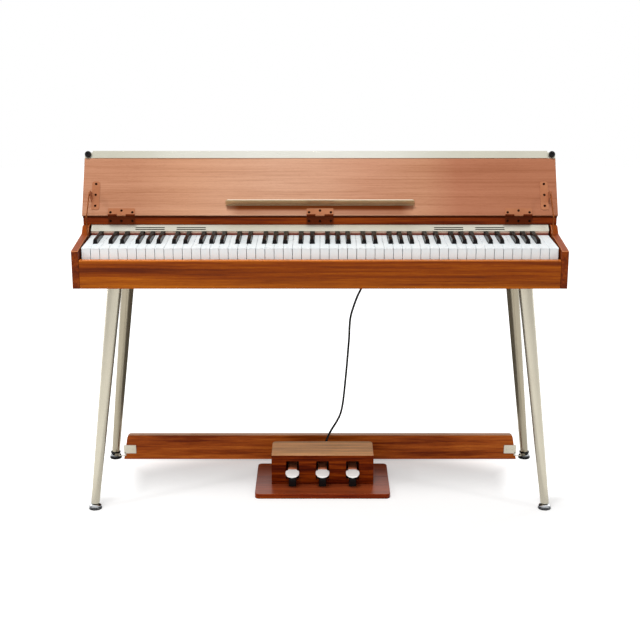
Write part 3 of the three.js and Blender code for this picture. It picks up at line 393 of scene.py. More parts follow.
@dataclass(frozen=True)
class WoodFinish(Finish):
    """Stained veneer under a satin lacquer, with figure, streaks and open pores."""

    dark: Colour
    middle: Colour
    light: Colour
    grain: Grain = Grain.ACROSS_THE_PIANO
    roughness: float = 0.4
    specular: float = 0.12
    contrast: float = 1.0
    drift: Point2 = (2.4, 9.0)  # cells to the metre, along the grain and across it
    figure: Point2 = (2.6, 42.0)
    streak: Point2 = (7.5, 170.0)
    fibre: Point2 = (26.0, 720.0)
    pore: Point2 = (80.0, 2600.0)
    wander: float = 0.007  # how far the drift bends the grain
    figure_share: float = 0.5
    fibre_share: float = 0.14
    tones_at: Point3 = (0.4, 0.5, 0.62)  # grain values of the dark, middle and light tones
    pores_open: Point2 = (0.6, 0.74)  # noise values between which a pore darkens, and between which it sinks
    pores_sunk: Point2 = (0.58, 0.74)
    pore_share: float = 0.4
    pore_depth: float = 0.00012
    painted_light_across: tuple[Colour, ...] = ()  # X, then red, green and blue of painted light and shade across the board, multiplied in
    # a painted shadow under a shelf
    shelf_shadow: PaintedShelfShadow | None = None
    pale_band: Colour | None = None  # a paler band between two heights
    pale_band_from: Point2 = (0.6195, 0.6225)
    pale_band_below: float = 0.0
    pale_band_fade: float = 0.016
    pale_band_share: float = 0.5
    top_highlight: Colour | None = None  # painted highlight along its upper edge or on its top face
    top_highlight_above: float = 0.0
    top_highlight_fade: float = 0.0012
    coated: float = 0.0  # polish on that highlighted part
    coat_roughness: float = 0.32

    def _along(self, cells: Point2) -> Vector:
        """Scales of the three axes.

        Args:
            cells: Cells to the metre, along the grain and across it.

        Returns:
            One scale to an axis.
        """
        scale = Vector((cells[1],) * 3)
        scale[self.grain.value] = cells[0]
        return scale

    def _layer(self, sheet: ShaderSheet, point: Field, cells: Point2, detail: float, roughness: float) -> Field:
        """Noise that is slow along the grain and quick across it."""
        return sheet.noise(sheet.stretched(point, self._along(cells)), 1.0, detail, roughness)

    def with_edge_highlights(self, sheet: ShaderSheet, point: Field, colour: Field) -> Field:
        """The colour with any painted edge highlights; none here."""
        return colour

    def describe(self, sheet: ShaderSheet) -> None:
        """Writes the figure, the streaks, the pores and the lacquer.

        Args:
            sheet: The sheet to write on.
        """
        point = sheet.place()
        level = sheet.axis(point, Z)
        sockets = {"Vector": sheet.stretched(point, self._along(self.drift)), "Scale": 1.0, "Detail": 1.0}
        drift = sheet.shifted(sheet.node("ShaderNodeTexNoise", {}, sockets)["Color"], (-0.5,) * 3)
        bent = sheet.shifted(point, sheet.stretched(drift, (self.wander,) * 3))
        figure = self._layer(sheet, bent, self.figure, 3.0, 0.55)
        streaks = self._layer(sheet, bent, self.streak, 4.0, 0.6)
        fibres = self._layer(sheet, bent, self.fibre, 2.0, 0.6)
        pores = self._layer(sheet, point, self.pore, 1.0, 0.5)
        streak_share = 1 - self.fibre_share - self.figure_share
        grained = figure * self.figure_share + streaks * streak_share + fibres * self.fibre_share
        tone = 0.5 + (grained - 0.5) * self.contrast
        colour = sheet.ramp(tone, list(zip(self.tones_at, (self.dark, self.middle, self.light))))
        # painted light and shade that change across the board
        if self.painted_light_across:
            stops = [(0.5 + x, (*tint, 1.0)) for x, *tint in self.painted_light_across]
            colour = sheet.mix(1.0, colour, sheet.ramp(sheet.axis(point, X) + 0.5, stops), "MULTIPLY")
        # painted shadow under the shelf, multiplied in
        if self.shelf_shadow:
            colour = sheet.mix(self.shelf_shadow.share(sheet, point), colour, self.shelf_shadow.tone, "MULTIPLY")
        # a paler band between two heights, near the bottom
        if self.pale_band:
            paler = (1 - level.between(self.pale_band_below - self.pale_band_fade, self.pale_band_below)) * level.between(*self.pale_band_from)
            colour = sheet.mix(paler * self.pale_band_share, colour, sheet.ramp(tone, [(0.4, self.middle), (0.6, self.pale_band)]))
        polish: Field | float = 0.0
        # painted highlight above a height
        if self.top_highlight:
            wear_and_highlight = level.between(self.top_highlight_above, self.top_highlight_above + self.top_highlight_fade)
            deep = tuple(0.55 * channel for channel in self.top_highlight[:3]) + (1.0,)
            colour = sheet.mix(wear_and_highlight, colour, sheet.ramp(tone, [(0.38, deep), (0.6, self.top_highlight)]))
            polish = wear_and_highlight * self.coated
        colour = self.with_edge_highlights(sheet, point, colour)
        sheet.surface({
            "Base Color": sheet.mix(pores.between(*self.pores_open) * self.pore_share, colour, self.dark, "MULTIPLY"),
            "Roughness": self.roughness + (streaks - 0.5) * 0.2,
            "Specular IOR Level": self.specular,
            "Coat Weight": polish,
            "Coat Roughness": self.coat_roughness,
            "Normal": sheet.bump(fibres * 0.3 + (1 - pores.between(*self.pores_sunk)), self.pore_depth, 0.3),
        })


@dataclass(frozen=True)
class CheekFinish(WoodFinish):
    """Veneer of a cheek, with a flat tone on its top faces and painted highlights along their two edges and at its
    front corner.
    """

    top_tone: Colour = paint(140, 62, 10)
    edge_highlight_tone: Colour = paint(206, 142, 100)
    edge_highlight_share: float = 0.75
    inner: float = 0.6155  # its two faces, from the piano's middle
    outer: float = 0.6335
    seam: float = 0.0003
    edge_widths: Point2 = (0.00098, 0.0014)  # where a painted edge highlight starts to fade, and where it ends
    corner_front: Point2 = (-0.2036, -0.2016)
    top_faces_above: Point2 = (0.7146, 0.7158)

    def with_edge_highlights(self, sheet: ShaderSheet, point: Field, colour: Field) -> Field:
        """The colour with its top tone and painted edge highlights.

        Args:
            sheet: The sheet to write on.
            point: The place on the cheek.
            colour: The veneer's own colour.

        Returns:
            The colour with its top tone and painted highlights.
        """
        side = abs(sheet.axis(point, X))
        whole, gone = self.edge_widths
        top = side.between(self.inner, self.inner + self.seam) * (1 - side.between(self.outer - self.seam, self.outer))
        upper = sheet.axis(point, Z).between(*self.top_faces_above) * top
        inner = 1 - side.between(self.inner + whole, self.inner + gone)
        outer = side.between(self.outer - gone, self.outer - whole)
        corner = 1 - sheet.axis(point, Y).between(*self.corner_front)
        # painted highlights along the top faces' edges and at the front corner
        edges = ((inner + outer + corner) * upper).between(0.0, 1.0)
        return sheet.mix(edges * self.edge_highlight_share, sheet.mix(upper, colour, self.top_tone), self.edge_highlight_tone)


@dataclass(frozen=True)
class SatinMetalFinish(Finish):
    """Anodised or painted metal with a faint grain along its length."""

    light: Colour
    dark: Colour
    metallic: float = 0.85
    roughness: float = 0.3
    specular: float = 0.5
    cloud_scale: float = 9.0
    cloud_share: float = 0.08  # how far clouds change the roughness
    brushing: Point3 = (6.0, 900.0, 900.0)  # cells to the metre on each axis
    brush_depth: float = 0.00002
    brush_share: float = 0.14
    top_edge_highlight: Colour | None = None  # painted highlight along its upper edge
    top_edge_highlight_above: float = 0.0
    top_edge_highlight_fade: float = 0.0006
    paler: float = 0.0  # how far its middle is lightened by a painted highlight
    pale_tone: Colour = paint(255, 255, 250)
    pale_middle: float = -0.06
    pale_falloff: float = 4.0

    def describe(self, sheet: ShaderSheet) -> None:
        """Writes the brushed grain, a slow change of tone and any painted highlights.

        Args:
            sheet: The sheet to write on.
        """
        point = sheet.place()
        brushed = sheet.noise(sheet.stretched(point, self.brushing), 1.0, 2.0)
        cloudy = sheet.noise(point, self.cloud_scale, 3.0)
        colour = sheet.mix(cloudy.between(0.3, 0.7), self.light, self.dark)
        # painted highlight across its middle
        if self.paler:
            across = sheet.axis(point, X) - self.pale_middle
            wear_and_highlight = (1 - across * across * self.pale_falloff).between(0.0, 1.0)
            colour = sheet.mix(wear_and_highlight * self.paler, colour, self.pale_tone)
        # painted highlight along its upper edge
        if self.top_edge_highlight:
            edge = sheet.axis(point, Z).between(self.top_edge_highlight_above, self.top_edge_highlight_above + self.top_edge_highlight_fade)
            colour = sheet.mix(edge, colour, self.top_edge_highlight)
        sheet.surface({
            "Base Color": colour,
            "Metallic": self.metallic,
            "Roughness": self.roughness + (brushed - 0.5) * self.brush_share + (cloudy - 0.5) * self.cloud_share,
            "Specular IOR Level": self.specular,
            "Normal": sheet.bump(brushed, self.brush_depth, 0.5),
        })


@dataclass(frozen=True)
class LegFinish(SatinMetalFinish):
    """Lacquer on a steel tube that was drawn lengthwise."""

    metallic: float = 0.6
    roughness: float = 0.24
    brushing: Point3 = (3600.0, 3600.0, 60.0)
    brush_depth: float = 0.0
    brush_share: float = 0.03


@dataclass(frozen=True)
class BronzeFinish(SatinMetalFinish):
    """Bronze lacquer on small fittings, with an even grain."""

    metallic: float = 0.0
    roughness: float = 0.5
    specular: float = 0.08
    brushing: Point3 = (500.0, 500.0, 500.0)


@dataclass(frozen=True)
class ChromeFinish(Finish):
    """Polished chrome plate with faint wiping marks."""

    tone: Colour = paint(226, 228, 230)
    marked: Colour = paint(200, 203, 207)
    roughness: float = 0.06
    plated: float = 1.0
    bronze: Colour | None = None  # painted reflection of the wooden housing on the shank, which is made unplated and rougher there
    shank_reflection_behind: float = 0.0
    crease: float | None = None  # the depth of the fold before the tip, where a painted shade line falls
    crease_shade_tone: Colour = paint(120, 118, 114)
    crease_share: float = 0.6
    crease_sharpness: float = 1400.0
    reflection_and_shade_bands: tuple[Colour, ...] = ()  # height above the floor, then red, green and blue of the painted reflections and shade there
    band_scale: float = 50.0  # takes those heights to a ramp's places

    def describe(self, sheet: ShaderSheet) -> None:
        """Writes the plate, the marks on it, any painted shade line at the crease, any painted reflection and shade
        bands, and any painted reflection of the housing on the shank.

        Args:
            sheet: The sheet to write on.
        """
        point = sheet.place()
        marks = sheet.noise(sheet.stretched(point, (60.0, 18.0, 60.0)), 1.0, 4.0, 0.6)
        colour = sheet.mix(marks.between(0.4, 0.75), self.tone, self.marked)
        # painted shade line along the crease
        if self.crease is not None:
            away = (sheet.axis(point, Y) - self.crease) * self.crease_sharpness
            colour = sheet.mix((1 - away * away).between(0.0, 1.0) * self.crease_share, colour, self.crease_shade_tone)
        # painted reflections and shade in bands by height
        if self.reflection_and_shade_bands:
            stops = [(self.band_scale * height, paint(*tint)) for height, *tint in self.reflection_and_shade_bands]
            tints = sheet.ramp(sheet.axis(point, Z) * self.band_scale, stops)
            colour = sheet.mix(1.0, colour, tints, "MULTIPLY")
        plated, roughness = self.plated, self.roughness + marks.between(0.5, 0.8) * 0.06
        # painted reflection of the wooden housing on the shank
        if self.bronze:
            shank = sheet.axis(point, Y).between(self.shank_reflection_behind, self.shank_reflection_behind + 0.001)
            colour = sheet.mix(shank, colour, self.bronze)
            plated, roughness = (1 - shank) * self.plated, roughness + shank * 0.3
        sheet.surface({"Base Color": colour, "Metallic": plated, "Roughness": roughness})


@dataclass(frozen=True)
class MouldedFinish(Finish):
    """Moulded plastic or rubber with a fine spark-eroded texture."""

    tone: Colour
    wear_and_highlight: Colour
    roughness: float = 0.5
    specular: float = 0.5
    grain_scale: float = 1400.0
    grain_depth: float = 0.00004

    def describe(self, sheet: ShaderSheet) -> None:
        """Writes the texture and a slow change of tone.

        Args:
            sheet: The sheet to write on.
        """
        point = sheet.place()
        grain = sheet.noise(point, self.grain_scale, 2.0)
        cloudy = sheet.noise(point, 24.0, 3.0)
        sheet.surface({
            "Base Color": sheet.mix(cloudy.between(0.35, 0.75), self.tone, self.wear_and_highlight),
            "Roughness": self.roughness + (grain - 0.5) * 0.12 + (cloudy - 0.5) * 0.1,
            "Specular IOR Level": self.specular,
            "Normal": sheet.bump(grain, self.grain_depth, 0.4),
        })


@dataclass(frozen=True)
class FeltFinish(Finish):
    """Pressed wool felt with loose fibres, paler above a height over the keys."""

    light: Colour
    dark: Colour
    upper_tone: Colour
    upper_line: Point2 = (0.7235, 0.7275)
    sheen: float = 0.4

    def describe(self, sheet: ShaderSheet) -> None:
        """Writes two sizes of fibre.

        Args:
            sheet: The sheet to write on.
        """
        point = sheet.place()
        fibres = sheet.noise(sheet.stretched(point, (1.0, 1.0, 1.6)), 2600.0, 3.0, 0.7)
        clumps = sheet.noise(point, 420.0, 3.0, 0.6)
        height = fibres * 0.6 + clumps * 0.4
        wool = sheet.mix(height.between(0.3, 0.7), self.dark, self.light)
        upper_share = sheet.axis(point, Z).between(*self.upper_line)
        sheet.surface({
            "Base Color": sheet.mix(upper_share * (0.4 + clumps), wool, self.upper_tone),
            "Roughness": 0.95,
            "Sheen Weight": self.sheen,
            "Specular IOR Level": 0.1,
            "Normal": sheet.bump(height, 0.0004, 0.7),
        })


@dataclass(frozen=True)
class CircuitFinish(Finish):
    """A lacquered circuit board with its tracks."""

    board: Colour
    track: Colour

    def describe(self, sheet: ShaderSheet) -> None:
        """Writes rows of tracks under the lacquer.

        Args:
            sheet: The sheet to write on.
        """
        point = sheet.place()
        sockets = {"Vector": point, "Scale": 120.0, "Mortar Size": 0.03, "Brick Width": 2.4, "Row Height": 0.4}
        tracks = sheet.node("ShaderNodeTexBrick", {}, sockets)["Fac"]
        sheet.surface({
            "Base Color": sheet.mix(tracks, self.board, self.track),
            "Roughness": 0.32 + sheet.noise(point, 60.0) * 0.2,
            "Normal": sheet.bump(tracks, 0.00005, 0.6),
        })


class Finishes:
    """Every finish on the piano, which the sub-assemblies take from here."""

    cabinet = WoodFinish("cabinet veneer", "cabinet_wood", paint(94, 32, 4), paint(144, 62, 12), paint(192, 98, 30))
    rail = WoodFinish(
        "rail veneer", "cabinet_wood", paint(94, 32, 2), paint(142, 62, 5), paint(192, 102, 16),
        contrast=0.85, figure=(0.9, 36.0), streak=(3.0, 150.0),
        # painted highlight along the rail's top edge, and a paler band near its bottom
        pale_band=paint(212, 120, 24), pale_band_below=0.648, top_highlight=paint(214, 122, 50), top_highlight_above=0.6898,
    )
    board = WoodFinish("top board veneer", "cabinet_wood", paint(80, 22, 1), paint(118, 42, 2), paint(152, 66, 6))
    # lighter than the cabinet veneer: painted light on the stretcher, which stands in the cabinet's shade, with a
    # painted highlight along its top edge
    stretcher = WoodFinish(
        "stretcher veneer", "cabinet_wood", paint(122, 44, 8), paint(184, 86, 26), paint(224, 122, 44),
        contrast=0.9, top_highlight=paint(226, 170, 132), top_highlight_above=0.0792,
    )
    # painted light on the housing's top face
    pedal_box = WoodFinish(
        "pedal box veneer", "cabinet_wood", paint(72, 14, 0), paint(108, 34, 1), paint(144, 60, 8),
        contrast=1.2, specular=0.05, top_highlight=paint(246, 184, 124), top_highlight_above=0.0985,
    )
    # painted sheen on the base's top face, under a polish coat
    pedal_board = WoodFinish(
        "pedal board veneer", "cabinet_wood", paint(92, 20, 0), paint(128, 42, 1), paint(156, 70, 10),
        roughness=0.3, specular=0.08, top_highlight=paint(144, 68, 38), top_highlight_above=0.0132, coated=1.0,
    )
    # a flat tone on the cheek tops, with painted highlights along their edges and front corner
    cheek = CheekFinish(
        "cheek veneer", "cabinet_wood", paint(88, 28, 2), paint(120, 46, 4), paint(154, 70, 14), Grain.FRONT_TO_BACK,
    )
    # painted light and shade across the lid, and a painted shadow under the music ledge
    lid = WoodFinish(
        "lid veneer", "lid_wood", paint(180, 130, 100), paint(204, 156, 128), paint(216, 170, 142),
        roughness=0.45, contrast=0.62, figure=(1.1, 34.0), streak=(3.0, 230.0),
        painted_light_across=(
            (-0.5, 0.80, 0.68, 0.60), (-0.36, 0.91, 0.83, 0.75), (-0.12, 1.0, 1.0, 1.0), (0.0, 0.99, 0.97, 0.96),
            (0.13, 0.92, 0.83, 0.79), (0.28, 0.82, 0.70, 0.61), (0.37, 0.70, 0.50, 0.42), (0.5, 0.66, 0.46, 0.37),
        ),
        shelf_shadow=PaintedShelfShadow(paint(154, 101, 48), low=0.7793, high=0.7966, half=0.2525),
    )
    bare = WoodFinish(
        "bare board", "inner_wood", paint(140, 104, 74), paint(170, 132, 96), paint(192, 156, 118), roughness=0.7,
    )
    champagne = SatinMetalFinish("champagne anodising", "champagne_metal", paint(220, 217, 202), paint(210, 206, 190))
    # painted highlight across the strip's middle
    strip = SatinMetalFinish(
        "strip anodising", "champagne_metal", paint(211, 208, 192), paint(203, 200, 183), paler=0.42,
    )
    # painted highlight along the ledge's upper edge
    ledge = SatinMetalFinish(
        "ledge anodising", "champagne_metal", paint(214, 199, 160), paint(204, 189, 150),
        metallic=0.8, top_edge_highlight=paint(255, 240, 222), top_edge_highlight_above=0.8122,
    )
    leg = LegFinish("leg lacquer", "leg_paint", paint(191, 185, 167), paint(187, 180, 162))
    # a shaded copy of the leg lacquer: painted shade on the rear legs
    shaded_rear_leg = LegFinish("rear leg lacquer", "leg_paint", paint(163, 154, 133), paint(159, 150, 129))
    plate = SatinMetalFinish(
        "bracket lacquer", "leg_paint", paint(206, 200, 182), paint(200, 194, 176), metallic=0.6, brush_depth=0.0,
    )
    hinge = BronzeFinish(
        "hinge bronze", "hinge_metal", paint(184, 120, 84), paint(168, 106, 72),
        metallic=0.2, roughness=0.42, specular=0.2,
    )
    # a shaded copy of the hinge bronze: painted shade on the lower leaves under the lid
    shaded_hinge = BronzeFinish("dark hinge bronze", "hinge_metal", paint(98, 38, 8), paint(84, 28, 4))
    arm = BronzeFinish("stay bronze", "hinge_metal", paint(158, 88, 40), paint(140, 74, 30))
    screw = BronzeFinish(
        "dark screw", "hinge_metal", paint(44, 14, 4), paint(30, 9, 2),
        roughness=0.6, specular=0.05, brushing=(900.0, 900.0, 900.0),
    )
    chrome = ChromeFinish("chrome plate", "polished_chrome")
    # painted reflections and shade in bands round the glides
    glide = ChromeFinish(
        "glide chrome", "polished_chrome",
        reflection_and_shade_bands=(
            (0.0, 120, 120, 122), (0.0052, 130, 130, 132), (0.0056, 255, 255, 255), (0.0082, 250, 250, 250),
            (0.0096, 120, 121, 124), (0.0112, 255, 255, 255), (0.0134, 250, 250, 250), (0.0146, 80, 80, 82),
        ),
    )
    # a shaded copy for the rear glides: painted shade, with darker painted bands
    shaded_glide = ChromeFinish(
        "shaded glide chrome", "polished_chrome", paint(200, 202, 204), paint(180, 183, 187),
        reflection_and_shade_bands=(
            (0.0, 20, 20, 22), (0.0054, 30, 30, 32), (0.0058, 220, 220, 220), (0.0082, 160, 160, 162),
            (0.0096, 70, 71, 74), (0.0112, 240, 240, 240), (0.0128, 120, 120, 120), (0.0140, 30, 30, 32),
        ),
    )
    # painted reflection of the wooden housing on the shank, and a painted shade line at the crease
    pedal = ChromeFinish(
        "pedal nickel", "polished_chrome", paint(255, 254, 252), paint(250, 249, 247), roughness=0.2, plated=0.14,
        bronze=paint(196, 112, 76), shank_reflection_behind=-0.0525, crease=-0.0812,
    )
    rubber = MouldedFinish(
        "black rubber", "black_rubber", paint(10, 10, 11), paint(17, 17, 18), roughness=0.22, specular=0.2,
    )
    plastic = MouldedFinish(
        "black plastic", "black_plastic", paint(22, 22, 24), paint(34, 34, 36), roughness=0.42, specular=0.4,
    )
    key_white = MouldedFinish(
        "white key plastic", "key_white", paint(245, 253, 255), paint(242, 250, 253),
        roughness=0.3, specular=0.15, grain_scale=60.0, grain_depth=0.00001,
    )
    key_black = MouldedFinish(
        "black key plastic", "key_black", paint(5, 5, 6), paint(10, 10, 11),
        roughness=0.26, specular=0.13, grain_scale=2200.0, grain_depth=0.00001,
    )
    felt = FeltFinish("red felt", "red_felt", paint(176, 80, 56), paint(124, 50, 34), paint(255, 220, 196))
    # dark felt that stands in for the shade in the gap under the lid
    tape = FeltFinish("gap felt", "red_felt", paint(84, 28, 6), paint(62, 18, 2), paint(72, 24, 4), sheen=0.0)
    circuit = CircuitFinish("circuit board", "circuit_board", paint(24, 84, 52), paint(120, 150, 70))


# ---- meshes


class Run(Enum):
    """The axis that a prism runs along, with the two axes of its outline."""

    X = (0, 1, 2)
    Y = (1, 0, 2)
    Z = (2, 0, 1)


def rounded_outline(corners: Sequence[Sequence[float]], steps: int = 8) -> list[Point2]:
    """A closed outline with its corners rounded.

    Args:
        corners: Points (u, v) or (u, v, radius).
        steps: Facets to a round corner.

    Returns:
        The outline's points.
    """
    points: list[Point2] = []
    for number, corner in enumerate(corners):
        here = Vector(corner[:2])
        radius = corner[2] if len(corner) > 2 else 0.0
        if not radius:
            points.append((here.x, here.y))
            continue
        before = Vector(corners[number - 1][:2]) - here
        after = Vector(corners[(number + 1) % len(corners)][:2]) - here
        half = before.angle(after) / 2
        run = min(radius / math.tan(half), min(before.length, after.length) / 2)
        ends = here + before.normalized() * run, here + after.normalized() * run
        points += [tuple(_on_arc(*ends, here, step / steps, half)) for step in range(steps + 1)]
    return points


def _on_arc(start: Vector, end: Vector, corner: Vector, share: float, half: float) -> Vector:
    """The point at a share of the arc from start to end that rounds a corner, given half the corner's angle."""
    first, middle, last = (1 - share) ** 2, 2 * share * (1 - share) * math.sin(half), share ** 2
    return (start * first + corner * middle + end * last) / (first + middle + last)


def rounded_sheet(u: Point2, v: Point2, low_radius: float, high_radius: float) -> list[Point2]:
    """A rectangle's outline from its two ends on each axis, with a radius for the corners at each end of v."""
    low, high = [(end, v[0], low_radius) for end in u], [(end, v[1], high_radius) for end in reversed(u)]
    return rounded_outline(low + high)


class Draft:
    """A mesh in the making, in the piano's frame."""

    def __init__(self) -> None:
        """Starts empty."""
        self.mesh = bmesh.new()

    @classmethod
    def of_node(cls, node: str) -> Draft:
        """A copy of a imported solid, with its facets welded and its flat faces whole.

        Args:
            node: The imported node's name.

        Returns:
            The draft.
        """
        draft = cls()
        mesh = draft.mesh
        mesh.from_mesh(bpy.data.objects[node].data)
        bmesh.ops.remove_doubles(mesh, verts=mesh.verts, dist=WELD)
        bmesh.ops.dissolve_limit(mesh, angle_limit=FLAT_ANGLE, verts=mesh.verts, edges=mesh.edges)
        return draft

    def face(self, corners: Iterable[Sequence[float]]) -> Draft:
        """Adds one flat face."""
        self.mesh.faces.new([self.mesh.verts.new(corner) for corner in corners])
        return self

    def rings(self, rings: Sequence[Sequence[Vector]]) -> Draft:
        """Adds a solid through closed rings of as many points each.

        Args:
            rings: The rings, in order.

        Returns:
            The draft itself.
        """
        made = [[self.mesh.verts.new(point) for point in ring] for ring in rings]
        for low, high in zip(made, made[1:]):
            count = len(low)
            for k in range(count):
                self.mesh.faces.new((low[k], low[(k + 1) % count], high[(k + 1) % count], high[k]))
        self.mesh.faces.new(tuple(reversed(made[0])))
        self.mesh.faces.new(tuple(made[-1]))
        return self

    def prism(self, outline: Sequence[Point2], run: Run, low: float, high: float) -> Draft:
        """Adds an outline run along one axis.

        Args:
            outline: Points on the other two axes, in their order.
            run: The axis.
            low, high: Where it starts and ends.

        Returns:
            The draft itself.
        """
        along, first, second = run.value
        rings = [[Vector((0.0, 0.0, 0.0)) for _ in outline] for _ in range(2)]
        for ring, place in zip(rings, (low, high)):
            for point, (u, v) in zip(ring, outline):
                point[along], point[first], point[second] = place, u, v
        return self.rings(rings)

    def block(self, low: Sequence[float], high: Sequence[float]) -> Draft:
        """Adds a box between two corners."""
        outline = [(low[0], low[1]), (high[0], low[1]), (high[0], high[1]), (low[0], high[1])]
        return self.prism(outline, Run.Z, low[2], high[2])

    def turned(self, profile: Sequence[Point2], base: Vector, axis: Vector, steps: int = 48) -> Draft:
        """Adds a turned solid.

        Args:
            profile: Points (radius, height) from one end of the axis to the other.
            base: Where height 0 is.
            axis: The way that height grows.
            steps: Facets round it.

        Returns:
            The draft itself.
        """
        turn, spokes = axis.to_track_quat("Z", "Y"), circle(steps)
        return self.rings([
            [base + turn @ Vector((radius * x, radius * y, height)) for x, y in spokes] for radius, height in profile
        ])

    def moved(self, matrix: Matrix) -> Draft:
        """Moves all that is drawn so far."""
        bmesh.ops.transform(self.mesh, matrix=matrix, verts=self.mesh.verts)
        return self

    def object(self, name: str, material: bpy.types.Material) -> bpy.types.Object:
        """Ends the draft as an object.

        Args:
            name: The object's name.
            material: What it is made of.

        Returns:
            The object.
        """
        data = bpy.data.meshes.new(name)
        self.mesh.to_mesh(data)
        self.mesh.free()
        data.materials.append(material)
        return add_object(name, data)

    def piece(
        self, name: str, finish: Finish, body: str = "root", stands_for: Sequence[str] = (),
        edge: float = 0.0, edge_steps: int = 3,
    ) -> bpy.types.Object:
        """Ends the draft as a piece of the piano.

        Args:
            name: The piece's name.
            finish: What it is finished in.
            body: The body that it rides on.
            stands_for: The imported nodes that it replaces.
            edge: Radius that its sharp edges are eased by.
            edge_steps: Facets of an eased edge.

        Returns:
            The piece.
        """
        bmesh.ops.recalc_face_normals(self.mesh, faces=self.mesh.faces)
        made = self.object(name, finish.material())
        made.data.shade_smooth()
        if edge:
            bevel = made.modifiers.new("eased edges", "BEVEL")
            bevel.width, bevel.segments = edge, edge_steps
            bevel.limit_method, bevel.angle_limit = "ANGLE", EDGE_ANGLE
        else:
            made.data.set_sharp_from_angle(angle=EDGE_ANGLE)
        weighted = made.modifiers.new("even shading", "WEIGHTED_NORMAL")
        weighted.keep_sharp = not edge
        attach(made, body)
        if stands_for:
            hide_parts(*stands_for)
        log.info("%s rides on %s in %s", name, body, finish.name)
        return made


def dress(node: str, finish: Finish, body: str = "root", edge: float = 0.0005, edge_steps: int = 3) -> bpy.types.Object:
    """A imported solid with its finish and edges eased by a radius, as a piece that rides on a body."""
    return Draft.of_node(node).piece(f"{node}_finished", finish, body, [node], edge, edge_steps)


@dataclass(frozen=True)
class Screw:
    """A domed screw head with a cross recess."""

    radius: float = 0.0034
    height: float = 0.0013
    dome: float = 0.82  # how far round its dome goes, as a sine
    recess_reach: float = 0.0021
    recess_half: float = 0.00055
    recess_depth: float = 0.0009
    spokes: int = 32
    hoops: int = 9

    def heads(self, seats: Iterable[tuple[Vector, float]], out: Vector) -> Draft:
        """Draws a head on each seat.

        Args:
            seats: Where each head's middle meets the surface, and how far its cross is turned.
            out: The way that they face.

        Returns:
            The draft.
        """
        draft, turn = Draft(), out.to_track_quat("Z", "Y")
        for seat, spin in seats:
            rings = [self._ring(self.radius, -self.height / 2, spin, 0.0)]
            for hoop in range(self.hoops, 0, -1):
                height = self.height * math.sqrt(max(1 - (self.dome * hoop / self.hoops) ** 2, 0.0))
                height *= smooth_step((self.hoops - hoop) / 2 + 0.2)
                rings.append(self._ring(self.radius * hoop / self.hoops, height, spin, self.recess_depth))
            draft.rings([[seat + turn @ point for point in ring] for ring in rings])
        return draft

    def _ring(self, radius: float, height: float, spin: float, cut: float) -> list[Vector]:
        """One ring of a head that faces up.

        Args:
            radius, height: The ring's own.
            spin: How far the cross is turned.
            cut: How far the ring is sunk where it crosses the recess.

        Returns:
            The ring's points.
        """
        ring = []
        for x, y in ((radius * x, radius * y) for x, y in circle(self.spokes)):
            in_cross = min(abs(x), abs(y)) < self.recess_half and max(abs(x), abs(y)) < self.recess_reach
            spun = (x * math.cos(spin) - y * math.sin(spin), x * math.sin(spin) + y * math.cos(spin))
            ring.append(Vector((*spun, height - cut * in_cross)))
        return ring


# ---- studio


@dataclass(frozen=True)
class Lamp:
    """A soft panel lamp."""

    name: str
    place: Point3
    aim: Point3
    size: Point2
    power: float
    mirrored: bool = False

    def hang(self) -> None:
        """Puts the lamp in the scene."""
        light = bpy.data.lights.new(self.name, "AREA")
        light.shape = "RECTANGLE"
        light.size, light.size_y = self.size
        light.energy = self.power
        made = add_object(self.name, light)
        made.location = self.place
        made.rotation_euler = (Vector(self.aim) - Vector(self.place)).to_track_quat("-Z", "Y").to_euler()
        made.visible_glossy = self.mirrored


